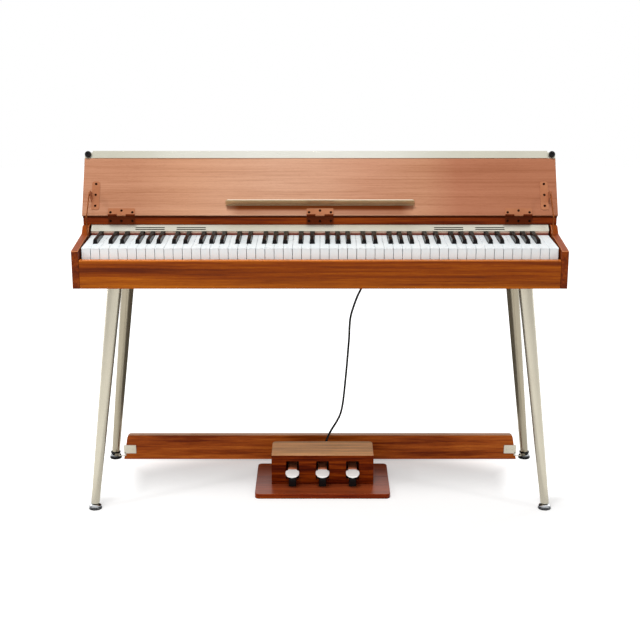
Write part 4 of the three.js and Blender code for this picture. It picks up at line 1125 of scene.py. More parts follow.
@dataclass(frozen=True)
class Studio:
    """Camera, white surroundings, lamps and a pale floor that keeps the piano's shadow."""

    camera_place: Point3 = (0.0, -3.459, 1.450)
    camera_tilt: float = 74.3  # degrees up from straight down
    lens: float = 73.74
    sensor: float = 36.0
    world_light: float = 0.36
    floor_radius: float = 6.0
    floor_steps: int = 96
    floor_glow: float = 0.4
    floor_tone: Colour = paint(205, 205, 205)
    shadow_middle: Point3 = (0.0, -0.2, 0.0)
    shadow_reach: Point3 = (0.88, 0.5, 1.0)
    shadow_full: float = 0.74  # share of the reach where the floor keeps its whole shadow
    side_fade: Point2 = (0.49, 0.59)  # how far out the shadow under the stretcher ends
    rear_fade: Point2 = (-0.13, -0.04)  # where that limit takes over behind the front feet
    flag_place: float = 0.38
    flag_depths: Point2 = (-0.08, 1.2)
    flag_top: float = 0.6
    flag_tone: Colour = paint(66, 60, 48)
    lamps: tuple[Lamp, ...] = (
        Lamp("overhead lamp", (-0.6, -1.5, 5.0), (0.0, 0.0, 0.5), (1.6, 1.1), 143.0),
        Lamp("front lamp", (-1.2, -4.6, 1.9), (0.0, 0.0, 0.5), (3.0, 2.0), 31.0),
        Lamp("left lamp", (-2.1, -1.0, 1.9), (-0.6, -0.1, 0.2), (0.2, 0.2), 9.0),
        Lamp("right lamp", (2.1, -1.0, 1.9), (0.6, -0.1, 0.2), (0.2, 0.2), 6.0),
        Lamp("left rim lamp", (-2.3, 0.9, 0.9), (-0.6, 0.0, 0.4), (0.5, 1.6), 7.0, mirrored=True),
        Lamp("right rim lamp", (2.3, 0.9, 0.9), (0.6, 0.0, 0.4), (0.5, 1.6), 4.5, mirrored=True),
    )

    def build(self) -> None:
        """Makes the studio."""
        self._camera()
        self._world()
        for lamp in self.lamps:
            lamp.hang()
        self._floor()
        self._flags()
        bpy.context.scene.view_settings.view_transform = "Standard"
        log.info("studio with %d lamps", len(self.lamps))

    def _camera(self) -> None:
        """Puts the camera where the photograph was taken from."""
        data = bpy.data.cameras.new("camera")
        data.lens, data.sensor_width = self.lens, self.sensor
        camera = add_object("camera", data)
        camera.location = self.camera_place
        camera.rotation_euler = (math.radians(self.camera_tilt), 0.0, 0.0)
        bpy.context.scene.camera = camera

    @staticmethod
    def _seen(sheet: ShaderSheet) -> Field:
        """1 for rays from the camera, a mirror or a window, and 0 for light that falls on things."""
        path = sheet.node("ShaderNodeLightPath")
        return path["Is Camera Ray"].larger(path["Is Glossy Ray"]).larger(path["Is Transmission Ray"])

    def _world(self) -> None:
        """White where it is seen, and dimmer where it lights things."""
        world = bpy.data.worlds.new("surroundings")
        world.use_nodes = True
        bpy.context.scene.world = world
        sheet = ShaderSheet(world.node_tree)
        strength = self.world_light + self._seen(sheet) * (1 - self.world_light)
        light = sheet.node("ShaderNodeBackground", {}, {"Color": paint(255, 255, 255), "Strength": strength})
        sheet.node("ShaderNodeOutputWorld", {}, {"Surface": light["Background"]})

    def _floor(self) -> None:
        """A pale floor that turns into the white surroundings away from the piano."""
        material, sheet = ShaderSheet.of_material("studio floor")
        point = sheet.place()
        middle = sheet.shifted(point, -Vector(self.shadow_middle))
        shares = sheet.stretched(middle, [1 / reach for reach in self.shadow_reach])
        distance = sheet.node("ShaderNodeVectorMath", {"operation": "LENGTH"}, {0: shares})["Value"]
        aside = abs(sheet.axis(point, X)).between(*self.side_fade)
        behind = sheet.axis(point, Y).between(*self.rear_fade)
        away = distance.between(self.shadow_full, 1.0).larger(aside * behind)
        lit = sheet.node("ShaderNodeBsdfDiffuse", {}, {"Color": self.floor_tone})
        glows = [
            sheet.node("ShaderNodeEmission", {}, {"Strength": self._seen(sheet) * share})["Emission"]
            for share in (self.floor_glow, 1.0)
        ]
        near, far = (sheet.node("ShaderNodeAddShader", {}, {0: lit["BSDF"], 1: glow})[0] for glow in glows)
        both = sheet.node("ShaderNodeMixShader", {}, {0: away, 1: near, 2: far})
        sheet.node("ShaderNodeOutputMaterial", {}, {"Surface": both[0]})
        outline = [(self.floor_radius * x, self.floor_radius * y, 0.0) for x, y in circle(self.floor_steps)]
        Draft().face(outline).object("floor", material)

    def _flags(self) -> None:
        """Dark flags behind the front feet, which only polished things see."""
        material, sheet = ShaderSheet.of_material("black flag")
        black = sheet.node("ShaderNodeBsdfDiffuse", {}, {"Color": self.flag_tone})
        sheet.node("ShaderNodeOutputMaterial", {}, {"Surface": black["BSDF"]})
        front, back = self.flag_depths
        for hand in Hand:
            corners = ((front, 0.0), (back, 0.0), (back, self.flag_top), (front, self.flag_top))
            flag = Draft().face([(hand.value * self.flag_place, *corner) for corner in corners])
            flag = flag.object(f"flag_{hand.name}", material)
            flag.visible_camera = flag.visible_diffuse = flag.visible_shadow = False
            flag.visible_transmission = flag.visible_volume_scatter = False


# ---- the piano


@dataclass
class PedalLead:
    """The lead from the pedal unit up to its socket under the cabinet."""

    diameter: float = 0.0062
    straight_run: float = 0.008
    seam: float = 0.0003
    samples: int = 14  # points between two of the route's
    # The lead's route from the plug down to the pedal housing, given point by point.
    route: tuple[Point3, ...] = (
        (0.1232, 0.1008, 0.566), (0.1166, 0.105, 0.543), (0.1051, 0.11, 0.516), (0.0953, 0.114, 0.487),
        (0.0868, 0.1175, 0.455), (0.084, 0.12, 0.425), (0.0829, 0.122, 0.392), (0.08, 0.124, 0.35),
        (0.0767, 0.1255, 0.305), (0.0728, 0.1265, 0.26), (0.0689, 0.127, 0.218), (0.065, 0.127, 0.186),
        (0.0585, 0.127, 0.158), (0.0472, 0.1265, 0.134), (0.0331, 0.1245, 0.111), (0.0217, 0.119, 0.089),
        (0.0158, 0.108, 0.0705),
    )
    relief_base: float = 0.007
    relief_tip: float = 0.0036
    rib_count: int = 5
    rib: tuple[Point2, ...] = ((0.0, 0.0), (0.55, 0.0), (0.62, 0.0007), (0.93, 0.0007))  # place and depth
    flange_radius: float = 0.009
    flange_length: float = 0.003

    def build(self) -> None:
        """Makes the plug, the socket, the strain relief and the lead."""
        plug_low, plug_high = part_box("pedal_plug")
        low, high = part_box("lead_strain_relief")
        plug_end = Vector(((plug_low.x + plug_high.x) / 2, (plug_low.y + plug_high.y) / 2, plug_low.z - self.seam))
        start = Vector(((low.x + high.x) / 2, low.y, (low.z + high.z) / 2))
        exit_point = Vector((start.x, high.y + self.seam, start.z))
        route = [
            exit_point, exit_point + TO_BACK * self.straight_run, *(Vector(point) for point in reversed(self.route)),
            plug_end + DOWNWARD * self.straight_run, plug_end,
        ]
        plug = dress("pedal_plug", Finishes.plastic, edge=0.0003)
        dress("pedal_socket", Finishes.plastic, edge=0.0008)
        self._relief(start, high.y - low.y)
        self._lead(self._curve(route))

    def _curve(self, route: Sequence[Vector]) -> list[Vector]:
        """Points along one smooth curve through the route.

        Args:
            route: The points that it passes through.

        Returns:
            Closely spaced points on the curve.
        """
        padded = [route[0] * 2 - route[1], *route, route[-1] * 2 - route[-2]]
        points = []
        for four in zip(padded, padded[1:], padded[2:], padded[3:]):
            knots = [0.0]
            for a, b in zip(four, four[1:]):
                knots.append(knots[-1] + math.sqrt((b - a).length))
            points += [self._between(four, knots, step / self.samples) for step in range(self.samples)]
        return [*points, route[-1]]

    @staticmethod
    def _between(four: Sequence[Vector], knots: Sequence[float], share: float) -> Vector:
        """A point between the middle two of four, on a centripetal Catmull-Rom curve.

        Args:
            four: The points.
            knots: The curve's parameter at each.
            share: How far from the second to the third, from 0 to 1.

        Returns:
            The point.
        """
        t = knots[1] + (knots[2] - knots[1]) * share

        def blend(a: Vector, b: Vector, low: float, high: float) -> Vector:
            """The point at t on the line from a at low to b at high."""
            return a * ((high - t) / (high - low)) + b * ((t - low) / (high - low))

        first, second, third = (blend(four[k], four[k + 1], knots[k], knots[k + 1]) for k in range(3))
        first, second = blend(first, second, knots[0], knots[2]), blend(second, third, knots[1], knots[3])
        return blend(first, second, knots[1], knots[2])

    def _relief(self, base: Vector, length: float) -> None:
        """A tapered strain relief with ribs.

        Args:
            base: Its middle on the housing.
            length: How far it reaches back.
        """
        flange, bore = self.flange_radius, self.diameter / 2 + self.seam
        profile = [
            (flange * 0.4, 0.0), (flange, 0.0), (flange, self.flange_length * 0.7),
            (flange * 0.9, self.flange_length), (self.relief_base, self.flange_length),
        ]
        for rib in range(self.rib_count):
            for share, depth in self.rib:
                along = (rib + share) / self.rib_count
                radius = self.relief_base + (self.relief_tip - self.relief_base) * along
                profile.append((max(radius - depth, bore), self.flange_length + (length - self.flange_length) * along))
        profile += [(self.relief_tip, length), (bore, length)]
        draft = Draft().turned(profile, base, TO_BACK)
        draft.piece("strain_relief", Finishes.rubber, "root", ["lead_strain_relief"])

    def _lead(self, points: Sequence[Vector]) -> None:
        """The lead itself, as one round curve.

        Args:
            points: The points that it follows.
        """
        data = bpy.data.curves.new("pedal_lead", "CURVE")
        data.dimensions = "3D"
        data.bevel_depth, data.bevel_resolution, data.use_fill_caps = self.diameter / 2, 6, True
        spline = data.splines.new("POLY")
        spline.points.add(len(points) - 1)
        for made, point in zip(spline.points, points):
            made.co = (*point, 1.0)
        spline.use_smooth = True
        data.materials.append(Finishes.rubber.material())
        lead = add_object("pedal_lead", data)
        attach(lead, "root")
        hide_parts("pedal_cord")
        length = sum((b - a).length for a, b in zip(points, points[1:]))
        log.info("pedal_lead is %.3f m long", length)


@dataclass
class Cabinet:
    """Cheeks, boards, rail and back, with what is inside them."""

    edge: float = 0.0011
    speaker_edge: float = 0.002
    screw_inset: float = 0.012
    back_screws: int = 6
    wedge_inset: float = 0.0015
    wedge_width: float = 0.0073
    wedge_heights: Point2 = (0.0046, 0.0006)  # its front and its back
    wedge_half: float = 0.6345
    seam: float = 0.0002

    def build(self) -> None:
        """Dresses every board."""
        for hand in Hand:
            dress(f"cheek_{hand.name}", Finishes.cheek, edge=self.edge)
            dress(f"speaker_{hand.name}", Finishes.plastic, edge=self.speaker_edge)
        boards = {
            "front_rail": Finishes.rail, "top_board": Finishes.board,
            "back_panel": Finishes.cabinet, "bottom_board": Finishes.bare,
        }
        for node, finish in boards.items():
            dress(node, finish, edge=self.edge)
        dress("rear_jack_plate", Finishes.plastic, edge=0.0004)
        dress("key_bed", Finishes.plastic, edge=0.0006)
        dress("main_board", Finishes.circuit, edge=0.0002, edge_steps=1)
        self._back_screws()
        self._gap_felt()

    def _gap_felt(self) -> None:
        """A dark felt wedge under the lid's lower edge, which stands in for the shade in the gap there."""
        low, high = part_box("top_board")
        front, back, seat = low.y + self.wedge_inset, low.y + self.wedge_inset + self.wedge_width, high.z - self.seam
        tall, thin = self.wedge_heights
        wedge = [(front, seat), (back, seat), (back, seat + thin), (front, seat + tall)]
        draft = Draft().prism(wedge, Run.X, -self.wedge_half, self.wedge_half)
        draft.piece("gap_felt", Finishes.tape, edge=0.0002, edge_steps=1)

    def _back_screws(self) -> None:
        """Screws round the back panel's edge."""
        low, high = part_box("back_panel")
        screw, inset = Screw(), self.screw_inset
        columns = [
            low.x + inset + (high.x - low.x - 2 * inset) * k / (self.back_screws - 1) for k in range(self.back_screws)
        ]
        seats = [
            (Vector((x, high.y - screw.height, z)), 0.7 * k)
            for k, x in enumerate(columns) for z in (low.z + inset, high.z - inset)
        ]
        screw.heads(seats, TO_BACK).piece("back_panel_screws", Finishes.screw)


@dataclass
class ControlPanel:
    """The folded metal panel over the keys, with speaker cloth behind its slots."""

    thickness: float = 0.0010
    edge: float = 0.0003
    flange: float = 0.018
    lip: float = 0.0006
    slot_half: float = 0.0016
    slot_spacing: float = 0.0066
    slot_drop: float = 0.0022
    slots: tuple[Point2, ...] = ((0.3047, 0.3827), (0.4147, 0.4927))
    cloth_drop: float = 0.0022
    cloth_margin: float = 0.006
    cloth_overlap: float = 0.0012
    cloth_thickness: float = 0.0008

    def build(self) -> None:
        """Folds the panel and lays the cloth behind its slots."""
        low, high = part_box("control_panel")
        bend = Vector((0.0, high.y - self.flange, high.z))
        foot = Vector((0.0, low.y, low.z + self.lip))
        slope = foot - bend
        middle = slope.length / 2 + self.slot_drop
        outer, inner = self.slot_spacing / 2 + self.slot_half, self.slot_spacing / 2 - self.slot_half
        places = [middle - outer, middle - inner, middle + inner, middle + outer]
        points = [Vector((0.0, high.y, high.z)), bend]
        points += [bend + slope.normalized() * place for place in places]
        points += [foot, Vector((0.0, low.y, low.z))]
        self._fold(points, high.x)
        inward = Vector((0.0, slope.z, -slope.y)).normalized()
        if inward.z > 0:
            inward = -inward
        self._cloth([point + inward * self.cloth_drop for point in (points[2], points[5])], inward)

    def _fold(self, points: Sequence[Vector], half: float) -> None:
        """The folded sheet with its slots.

        Args:
            points: The sheet's outer face from back to front, seen from the side.
            half: Half its length.
        """
        ends = sorted(side * end for slot in self.slots for end in slot for side in (-1, 1))
        columns = [-half, *ends, half]
        draft = Draft()
        grid = [[draft.mesh.verts.new((x, point.y, point.z)) for point in points] for x in columns]
        for i in range(len(columns) - 1):
            middle = abs(columns[i] + columns[i + 1]) / 2
            slotted = any(start < middle < end for start, end in self.slots)
            for j in range(len(points) - 1):
                if not (slotted and j in (2, 4)):  # the two rows between the edges of a slot
                    draft.mesh.faces.new((grid[i][j], grid[i][j + 1], grid[i + 1][j + 1], grid[i + 1][j]))
        panel = draft.piece("folded_panel", Finishes.champagne, "root", ["control_panel"], edge=self.edge)
        upward = panel.data.polygons[0].normal.z > 0
        solid = panel.modifiers.new("sheet metal", "SOLIDIFY")
        solid.thickness, solid.offset, solid.use_even_offset = self.thickness, -1.0 if upward else 1.0, True
        panel.modifiers.move(panel.modifiers.find(solid.name), 0)

    def _cloth(self, edges: Sequence[Vector], inward: Vector) -> None:
        """Black cloth behind each group of slots.

        Args:
            edges: The outer edges of a pair of slots, on the cloth's face.
            inward: The way into the cabinet.
        """
        along = (edges[1] - edges[0]).normalized() * self.cloth_overlap
        start, end, back = edges[0] - along, edges[1] + along, inward * self.cloth_thickness
        outline = [(p.y, p.z) for p in (start, end, end + back, start + back)]
        for hand in Hand:
            near, far = self.slots[0][0] - self.cloth_margin, self.slots[-1][1] + self.cloth_margin
            draft = Draft().prism(outline, Run.X, hand.value * near, hand.value * far)
            draft.piece(f"speaker_cloth_{hand.name}", Finishes.plastic, edge=0.0001, edge_steps=1)


@dataclass
class Keyboard:
    """Fifty-two white keys, their black keys and the felt behind them, in four combs of each."""

    pitch: float = 0.0235
    count: int = 52
    gap: float = 0.001
    splits: tuple[int, ...] = (0, 16, 30, 44, 52)  # the white keys at which combs start and end
    first_letter: int = 5  # of the lowest key, counted from C
    letters: int = 7
    # After which letters a black key stands, and how far off the gap, in key pitches.
    sharp_shares: dict[int, float] = field(default_factory=lambda: {0: -0.13, 1: 0.13, 3: -0.16, 4: 0.0, 5: 0.16})
    notch: float = 0.052
    cap: float = 0.0024
    lip: float = 0.0004
    side_inset: float = 0.0002
    body_depth: float = 0.030
    natural_edge: float = 0.0005
    sharp_width: float = 0.0116
    sharp_crown: float = 0.0094
    sharp_slope: float = 0.0034
    sharp_run: float = 0.108
    sharp_edge: float = 0.0013
    stem_rise: float = 0.008
    stem_height: float = 0.018
    bead: float = 0.005
    bead_facets: int = 16
    felt_cell: float = 0.0019
    felt_rows: int = 7
    felt_fuzz: float = 0.00022
    fuzz_scale: float = 900.0
    felt_beside: float = 0.0062
    felt_over: float = 0.0006

    def build(self) -> None:
        """Makes the combs of keys and the felt."""
        for comb in range(len(self.splits) - 1):
            self._naturals(comb)
            self._sharps(comb)
        self._felt()

    def _has_sharp(self, key: int) -> bool:
        """True where a black key stands after that white key."""
        return 0 <= key < self.count - 1 and (key + self.first_letter) % self.letters in self.sharp_shares

    def _sharp_x(self, key: int) -> float:
        """The middle of the black key after a white key."""
        share = self.sharp_shares[(key + self.first_letter) % self.letters]
        return (key + 1 + share - self.count / 2) * self.pitch

    def _plan(self, key: int, front: float, tail: float, inset: float) -> list[Point2]:
        """A white key's plan, with notches where black keys pass.

        Args:
            key: The white key's number.
            front, tail: Where it starts and ends.
            inset: How far its sides stand in.

        Returns:
            The outline on X and Y.
        """
        left = (key - self.count / 2) * self.pitch + self.gap / 2 + inset
        right = left + self.pitch - self.gap - 2 * inset
        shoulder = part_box("natural_keys_1")[0].y + self.notch - self.gap
        beside = self.sharp_width / 2 + self.gap + inset
        tail_left = self._sharp_x(key - 1) + beside if self._has_sharp(key - 1) else left
        tail_right = self._sharp_x(key) - beside if self._has_sharp(key) else right
        outline = [(left, front), (right, front)]
        if tail_right < right:
            outline += [(right, shoulder), (tail_right, shoulder)]
        outline += [(tail_right, tail), (tail_left, tail)]
        if tail_left > left:
            outline += [(tail_left, shoulder), (left, shoulder)]
        return outline

    def _naturals(self, comb: int) -> None:
        """One comb of white keys: each a cap with a front lip on a slimmer body.

        Args:
            comb: The comb's number, from 0.
        """
        node = f"natural_keys_{comb + 1}"
        low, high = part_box(node)
        bottom, seam = high.z - self.body_depth, high.z - self.cap
        draft = Draft()
        for key in range(self.splits[comb], self.splits[comb + 1]):
            cap = self._plan(key, low.y, high.y, -self.side_inset)
            body = self._plan(key, low.y + self.lip, high.y - self.side_inset, self.side_inset)
            draft.prism(cap, Run.Z, seam, high.z)
            draft.prism(body, Run.Z, bottom, seam + self.side_inset)
        self._spine(draft, low, high, bottom + self.gap)
        name, body_name = f"white_keys_{comb + 1}", f"naturals_{comb + 1}"
        draft.piece(name, Finishes.key_white, body_name, [node], edge=self.natural_edge)

    def _spine(self, draft: Draft, low: Vector, high: Vector, top: float) -> None:
        """The bar under the key tails, with a round bead that turns in the key bed.

        Args:
            draft: The comb that it joins.
            low, high: The comb's box.
            top: The bar's top.
        """
        middle = high.y - self.gap - self.bead
        if low.z + 2 * self.bead > top + self.bead:
            middle = high.y - self.bead
        centre = low.z + self.bead
        outline = [(middle + self.bead, top), (middle - self.bead, top)]
        for k in range(self.bead_facets + 1):
            angle = math.pi + math.pi * k / self.bead_facets
            outline.append((middle + self.bead * math.cos(angle), centre + self.bead * math.sin(angle)))
        draft.prism(outline, Run.X, low.x, high.x)

    def _sharps(self, comb: int) -> None:
        """One comb of black keys, each tapered to its crown and sloped at its front.

        Args:
            comb: The comb's number, from 0.
        """
        node = f"sharp_keys_{comb + 1}"
        low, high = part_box(node)
        bottom, waist = low.z + self.stem_rise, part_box("natural_keys_1")[1].z
        crown_end = low.y + self.sharp_run
        half, crown = self.sharp_width / 2, self.sharp_crown / 2
        draft = Draft()
        for key in filter(self._has_sharp, range(self.splits[comb], self.splits[comb + 1])):
            x = self._sharp_x(key)
            draft.rings([
                self._slab(x, half, low.y, crown_end + self.sharp_slope, bottom),
                self._slab(x, half, low.y, crown_end + self.sharp_slope, waist),
                self._slab(x, crown, low.y + self.sharp_slope, crown_end, high.z),
            ])
            draft.block((x - crown, crown_end, bottom), (x + crown, high.y, bottom + self.stem_height))
        self._spine(draft, low, high, bottom + self.gap)
        name, body_name = f"black_keys_{comb + 1}", f"sharps_{comb + 1}"
        draft.piece(name, Finishes.key_black, body_name, [node], edge=self.sharp_edge, edge_steps=4)

    @staticmethod
    def _slab(x: float, half: float, front: float, back: float, z: float) -> list[Vector]:
        """A level ring round a black key."""
        corners = ((x - half, front), (x + half, front), (x + half, back), (x - half, back))
        return [Vector((*corner, z)) for corner in corners]

    def _felt(self) -> None:
        """A fuzzy strip of felt with notches for the black keys."""
        low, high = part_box("felt_strip")
        sharps = [self._sharp_x(key) for key in range(self.count) if self._has_sharp(key)]
        columns, levels = self._felt_lines(low, high, sharps)
        draft, inner, grid = Draft(), self.felt_fuzz * 1.5, {}
        for i, x in enumerate(columns):
            for j, z in enumerate(levels):
                fuzz = noise.noise(Vector((x, 0.0, z)) * self.fuzz_scale) * self.felt_fuzz
                grid[i, j, 0] = draft.mesh.verts.new((x, low.y + inner + fuzz, z))
                grid[i, j, 1] = draft.mesh.verts.new((x, high.y - inner, z))
        filled = set()
        for i in range(len(columns) - 1):
            middle = (columns[i] + columns[i + 1]) / 2
            over_sharp = any(abs(middle - x) < self.felt_beside for x in sharps)
            filled |= {(i, j) for j in range(len(levels) - 1) if not (over_sharp and j < self.felt_rows)}
        for i, j in filled:
            front = ((i, j), (i + 1, j), (i + 1, j + 1), (i, j + 1))
            draft.mesh.faces.new([grid[*corner, 0] for corner in front])
            draft.mesh.faces.new([grid[*corner, 1] for corner in (front[0], *reversed(front[1:]))])
            for beside, a, b in (
                ((i - 1, j), (i, j), (i, j + 1)), ((i + 1, j), (i + 1, j), (i + 1, j + 1)),
                ((i, j - 1), (i, j), (i + 1, j)), ((i, j + 1), (i, j + 1), (i + 1, j + 1)),
            ):
                if beside not in filled:
                    draft.mesh.faces.new([grid[*a, 0], grid[*b, 0], grid[*b, 1], grid[*a, 1]])
        loose = [vertex for vertex in draft.mesh.verts if not vertex.link_faces]
        bmesh.ops.delete(draft.mesh, geom=loose, context="VERTS")
        draft.piece("key_felt", Finishes.felt, "root", ["felt_strip"], edge=0.0004, edge_steps=2)

    def _felt_lines(self, low: Vector, high: Vector, sharps: Sequence[float]) -> tuple[list[float], list[float]]:
        """Where the felt's cells are parted.

        Args:
            low, high: The felt's box.
            sharps: The middles of the black keys.

        Returns:
            The places along X, and the heights.
        """
        stations = {low.x + self.felt_fuzz, high.x - self.felt_fuzz}
        stations = sorted(stations.union(*({x - self.felt_beside, x + self.felt_beside} for x in sharps)))
        columns: list[float] = []
        for start, end in zip(stations, stations[1:]):
            steps = max(round((end - start) / self.felt_cell), 1)
            columns += [start + (end - start) * k / steps for k in range(steps)]
        notch_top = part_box("sharp_keys_1")[1].z + self.felt_over
        levels = [low.z + (notch_top - low.z) * k / self.felt_rows for k in range(self.felt_rows)]
        levels += [notch_top, (notch_top + high.z - self.felt_fuzz) / 2, high.z - self.felt_fuzz]
        return [*columns, stations[-1]], levels


@dataclass
class Lid:
    """The lid board, its metal edge strip, bumpers and music ledge, drawn in the lid's own frame."""

    hinge: Point3
    lean: float = 30.0  # degrees behind upright
    half: float = 0.6365
    board_face: float = 0.003
    board_back: float = 0.015
    board_edge: float = 0.0009
    trim_edge: float = 0.0005
    small_radius: float = 0.0006
    strip_half: float = 0.6155
    strip_face: float = 0.0015
    strip_ends: Point2 = (0.1633, 0.1856)  # up the lid
    nose: float = 0.005
    ear_top: float = 0.1803
    ear_radius: float = 0.004
    ear_overlap: float = 0.001
    bumper_radius: float = 0.0088
    bumper_height: float = 0.009
    bumper_wall: float = 0.55  # share of that height
    bumper_round: float = 0.0034
    bumper_facets: int = 6
    bumper_place: Point2 = (0.6268, 0.173)  # along X and up the lid
    seat: float = 0.0027  # where ledge and bumpers stand on the board's face
    recess_radius: float = 0.003
    recess_depth: float = 0.003
    ledge_up: float = 0.0287
    ledge_tilt: float = 20.0
    ledge_depth: float = 0.0215
    ledge_thickness: float = 0.0028
    ledge_corner: float = 0.008
    flange_height: float = 0.012
    flange_thickness: float = 0.0015
    flange_radii: Point2 = (0.002, 0.004)

    def frame(self) -> Matrix:
        """Takes the lid's own frame, Z up the lid from the hinge axis, to the piano's."""
        return Matrix.Translation(Vector(self.hinge)) @ Matrix.Rotation(math.radians(-self.lean), 4, "X")

    def build(self) -> None:
        """Makes the lid's pieces."""
        dress("lid_board", Finishes.lid, "lid", edge=self.board_edge)
        self._ledge()
        self._strip()
        for hand in Hand:
            self._bumper(hand)

    def _ledge(self) -> None:
        """The folded ledge that holds the music, with a flange flat on the lid."""
        low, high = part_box("music_ledge")
        ends = (low.x - high.x) / 2, (high.x - low.x) / 2
        turn = Matrix.Rotation(math.radians(-self.ledge_tilt), 4, "X")
        shelf = rounded_sheet(ends, (0.0, -self.ledge_depth), 0.0, self.ledge_corner)
        draft = Draft().prism(shelf, Run.Z, 0.0, self.ledge_thickness)
        draft.moved(Matrix.Translation((0.0, self.seat, self.ledge_up)) @ turn)
        flange = rounded_sheet(ends, (self.ledge_up, self.ledge_up + self.flange_height), *self.flange_radii)
        draft.prism(flange, Run.Y, self.seat - self.flange_thickness, self.seat).moved(self.frame())
        draft.piece("folded_ledge", Finishes.ledge, "lid", ["music_ledge"], edge=self.trim_edge)

    def _strip(self) -> None:
        """The metal strip that caps the lid, with a low ear at each end."""
        section = rounded_sheet((self.strip_face, self.board_back), self.strip_ends, self.small_radius, self.nose)
        draft = Draft().prism(section, Run.X, -self.strip_half, self.strip_half)
        foot, root = self.strip_ends[0], self.strip_half - self.ear_overlap
        for side in (hand.value for hand in Hand):
            ear = rounded_outline([
                (side * root, foot), (side * self.half, foot, self.small_radius),
                (side * self.half, self.ear_top, self.ear_radius), (side * root, self.ear_top),
            ])
            draft.prism(ear, Run.Y, self.board_face, self.board_back)
        draft.moved(self.frame())
        draft.piece("lid_metal_strip", Finishes.strip, "lid", ["lid_edge_strip"], edge=self.trim_edge)

    def _bumper(self, hand: Hand) -> None:
        """A domed rubber bumper with a screw hole.

        Args:
            hand: The bumper's side.
        """
        top, wall, hole = self.bumper_height, self.bumper_wall * self.bumper_height, self.recess_radius
        profile = [(hole * 0.3, 0.0), (self.bumper_radius, 0.0), (self.bumper_radius, wall)]
        for k in range(1, self.bumper_facets + 1):
            angle = math.pi / 2 * k / self.bumper_facets
            radius = self.bumper_radius - self.bumper_round * (1 - math.cos(angle))
            profile.append((radius, wall + (top - wall) * math.sin(angle)))
        profile += [
            (hole + 0.0006, top), (hole, top - 0.0005), (hole, top - self.recess_depth),
            (hole * 0.3, top - self.recess_depth),
        ]
        x, up = self.bumper_place
        draft = Draft().turned(profile, Vector((hand.value * x, self.seat, up)), TO_PLAYER).moved(self.frame())
        draft.piece(f"lid_bumper_{hand.name}", Finishes.rubber, "lid", [f"bumper_{hand.name}"])


@dataclass
class Hinges:
    """Three butt hinges between the top board and the lid."""

    lid: Lid
    width: float = 0.072
    barrel: float = 0.0027
    barrel_ease: float = 0.0003
    leaf: float = 0.0015
    corner: float = 0.003
    edge: float = 0.0003
    inlay: float = 0.0003
    knuckle_gap: float = 0.0004
    leaf_ends: Point2 = (0.0031, 0.020)  # of the lid's leaf, up the lid
    tongue: float = 0.004
    screw: Screw = Screw(height=0.0014)
    screw_spread: float = 0.0293
    lid_screws: Point3 = (0.0085, 0.0135, 0.0085)  # how far up they stand
    board_screw: float = 0.0095

    def build(self) -> None:
        """Makes both leaves of each hinge with their screws."""
        for place in THIRDS:
            self._board_leaf(place)
            self._lid_leaf(place)

    def _knuckle(self, draft: Draft, start: float, end: float, centre: Vector) -> None:
        """One round knuckle of the barrel.

        Args:
            draft: The leaf that it joins.
            start, end: Where it runs on X.
            centre: A point of the barrel's axis.
        """
        radius, length, ease = self.barrel, end - start, self.barrel_ease
        profile = [(radius - ease, 0.0), (radius, ease), (radius, length - ease), (radius - ease, length)]
        draft.turned(profile, Vector((start, centre.y, centre.z)), TO_TREBLE, 32)

    def _board_leaf(self, place: str) -> None:
        """The leaf that is screwed to the top board's front face.

        Args:
            place: Which of the hinges.
        """
        node = f"hinge_{place}_board_leaf"
        low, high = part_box(node)
        middle, half = (low.x + high.x) / 2, self.width / 6 + self.knuckle_gap / 2
        axis, back = self.lid.frame().translation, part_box("top_board")[0].y - self.inlay
        outline = rounded_sheet((low.x, high.x), (low.z, axis.z - self.barrel * 0.4), self.corner, 0.0)
        draft = Draft().prism(outline, Run.Y, back - self.leaf, back)
        self._knuckle(draft, low.x, middle - half, axis)
        self._knuckle(draft, middle + half, high.x, axis)
        name = f"hinge_{place}_lower"
        # the lower leaf takes the shaded copy of the bronze: painted shade
        draft.piece(name, Finishes.shaded_hinge, "root", [node], edge=self.edge, edge_steps=2)
        heads = self._screws(middle, back, [low.z + self.board_screw] * 3, (-0.6, 0.4, 1.4))
        heads.piece(f"{name}_screws", Finishes.screw)

    def _lid_leaf(self, place: str) -> None:
        """The leaf that is screwed to the lid.

        Args:
            place: Which of the hinges.
        """
        node = f"hinge_{place}_lid_leaf"
        low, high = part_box(node)
        middle, half = (low.x + high.x) / 2, self.width / 6 - self.knuckle_gap / 2
        face = self.lid.board_face - self.inlay
        outline = rounded_sheet((low.x, high.x), self.leaf_ends, 0.0, self.corner)
        draft = Draft().prism(outline, Run.Y, face - self.leaf, face)
        draft.block((middle - half, face - self.leaf, 0.0), (middle + half, face, self.tongue))
        self._knuckle(draft, middle - half, middle + half, Vector((0.0, 0.0, 0.0)))
        name, frame = f"hinge_{place}_upper", self.lid.frame()
        draft.moved(frame).piece(name, Finishes.hinge, "lid", [node], edge=self.edge, edge_steps=2)
        heads = self._screws(middle, face, self.lid_screws, (-0.9, 0.0, 0.9))
        heads.moved(frame).piece(f"{name}_screws", Finishes.screw, "lid")

    def _screws(self, middle: float, face: float, levels: Sequence[float], spins: Sequence[float]) -> Draft:
        """Three screw heads on a leaf.

        Args:
            middle: The leaf's middle on X.
            face: The depth of what it is screwed to.
            levels, spins: Each head's height, and how far its cross is turned.

        Returns:
            The draft.
        """
        places = (middle + k * self.screw_spread for k in (-1, 0, 1))
        seats = (Vector((x, face - self.leaf, level)) for x, level in zip(places, levels))
        return self.screw.heads(zip(seats, spins), TO_PLAYER)


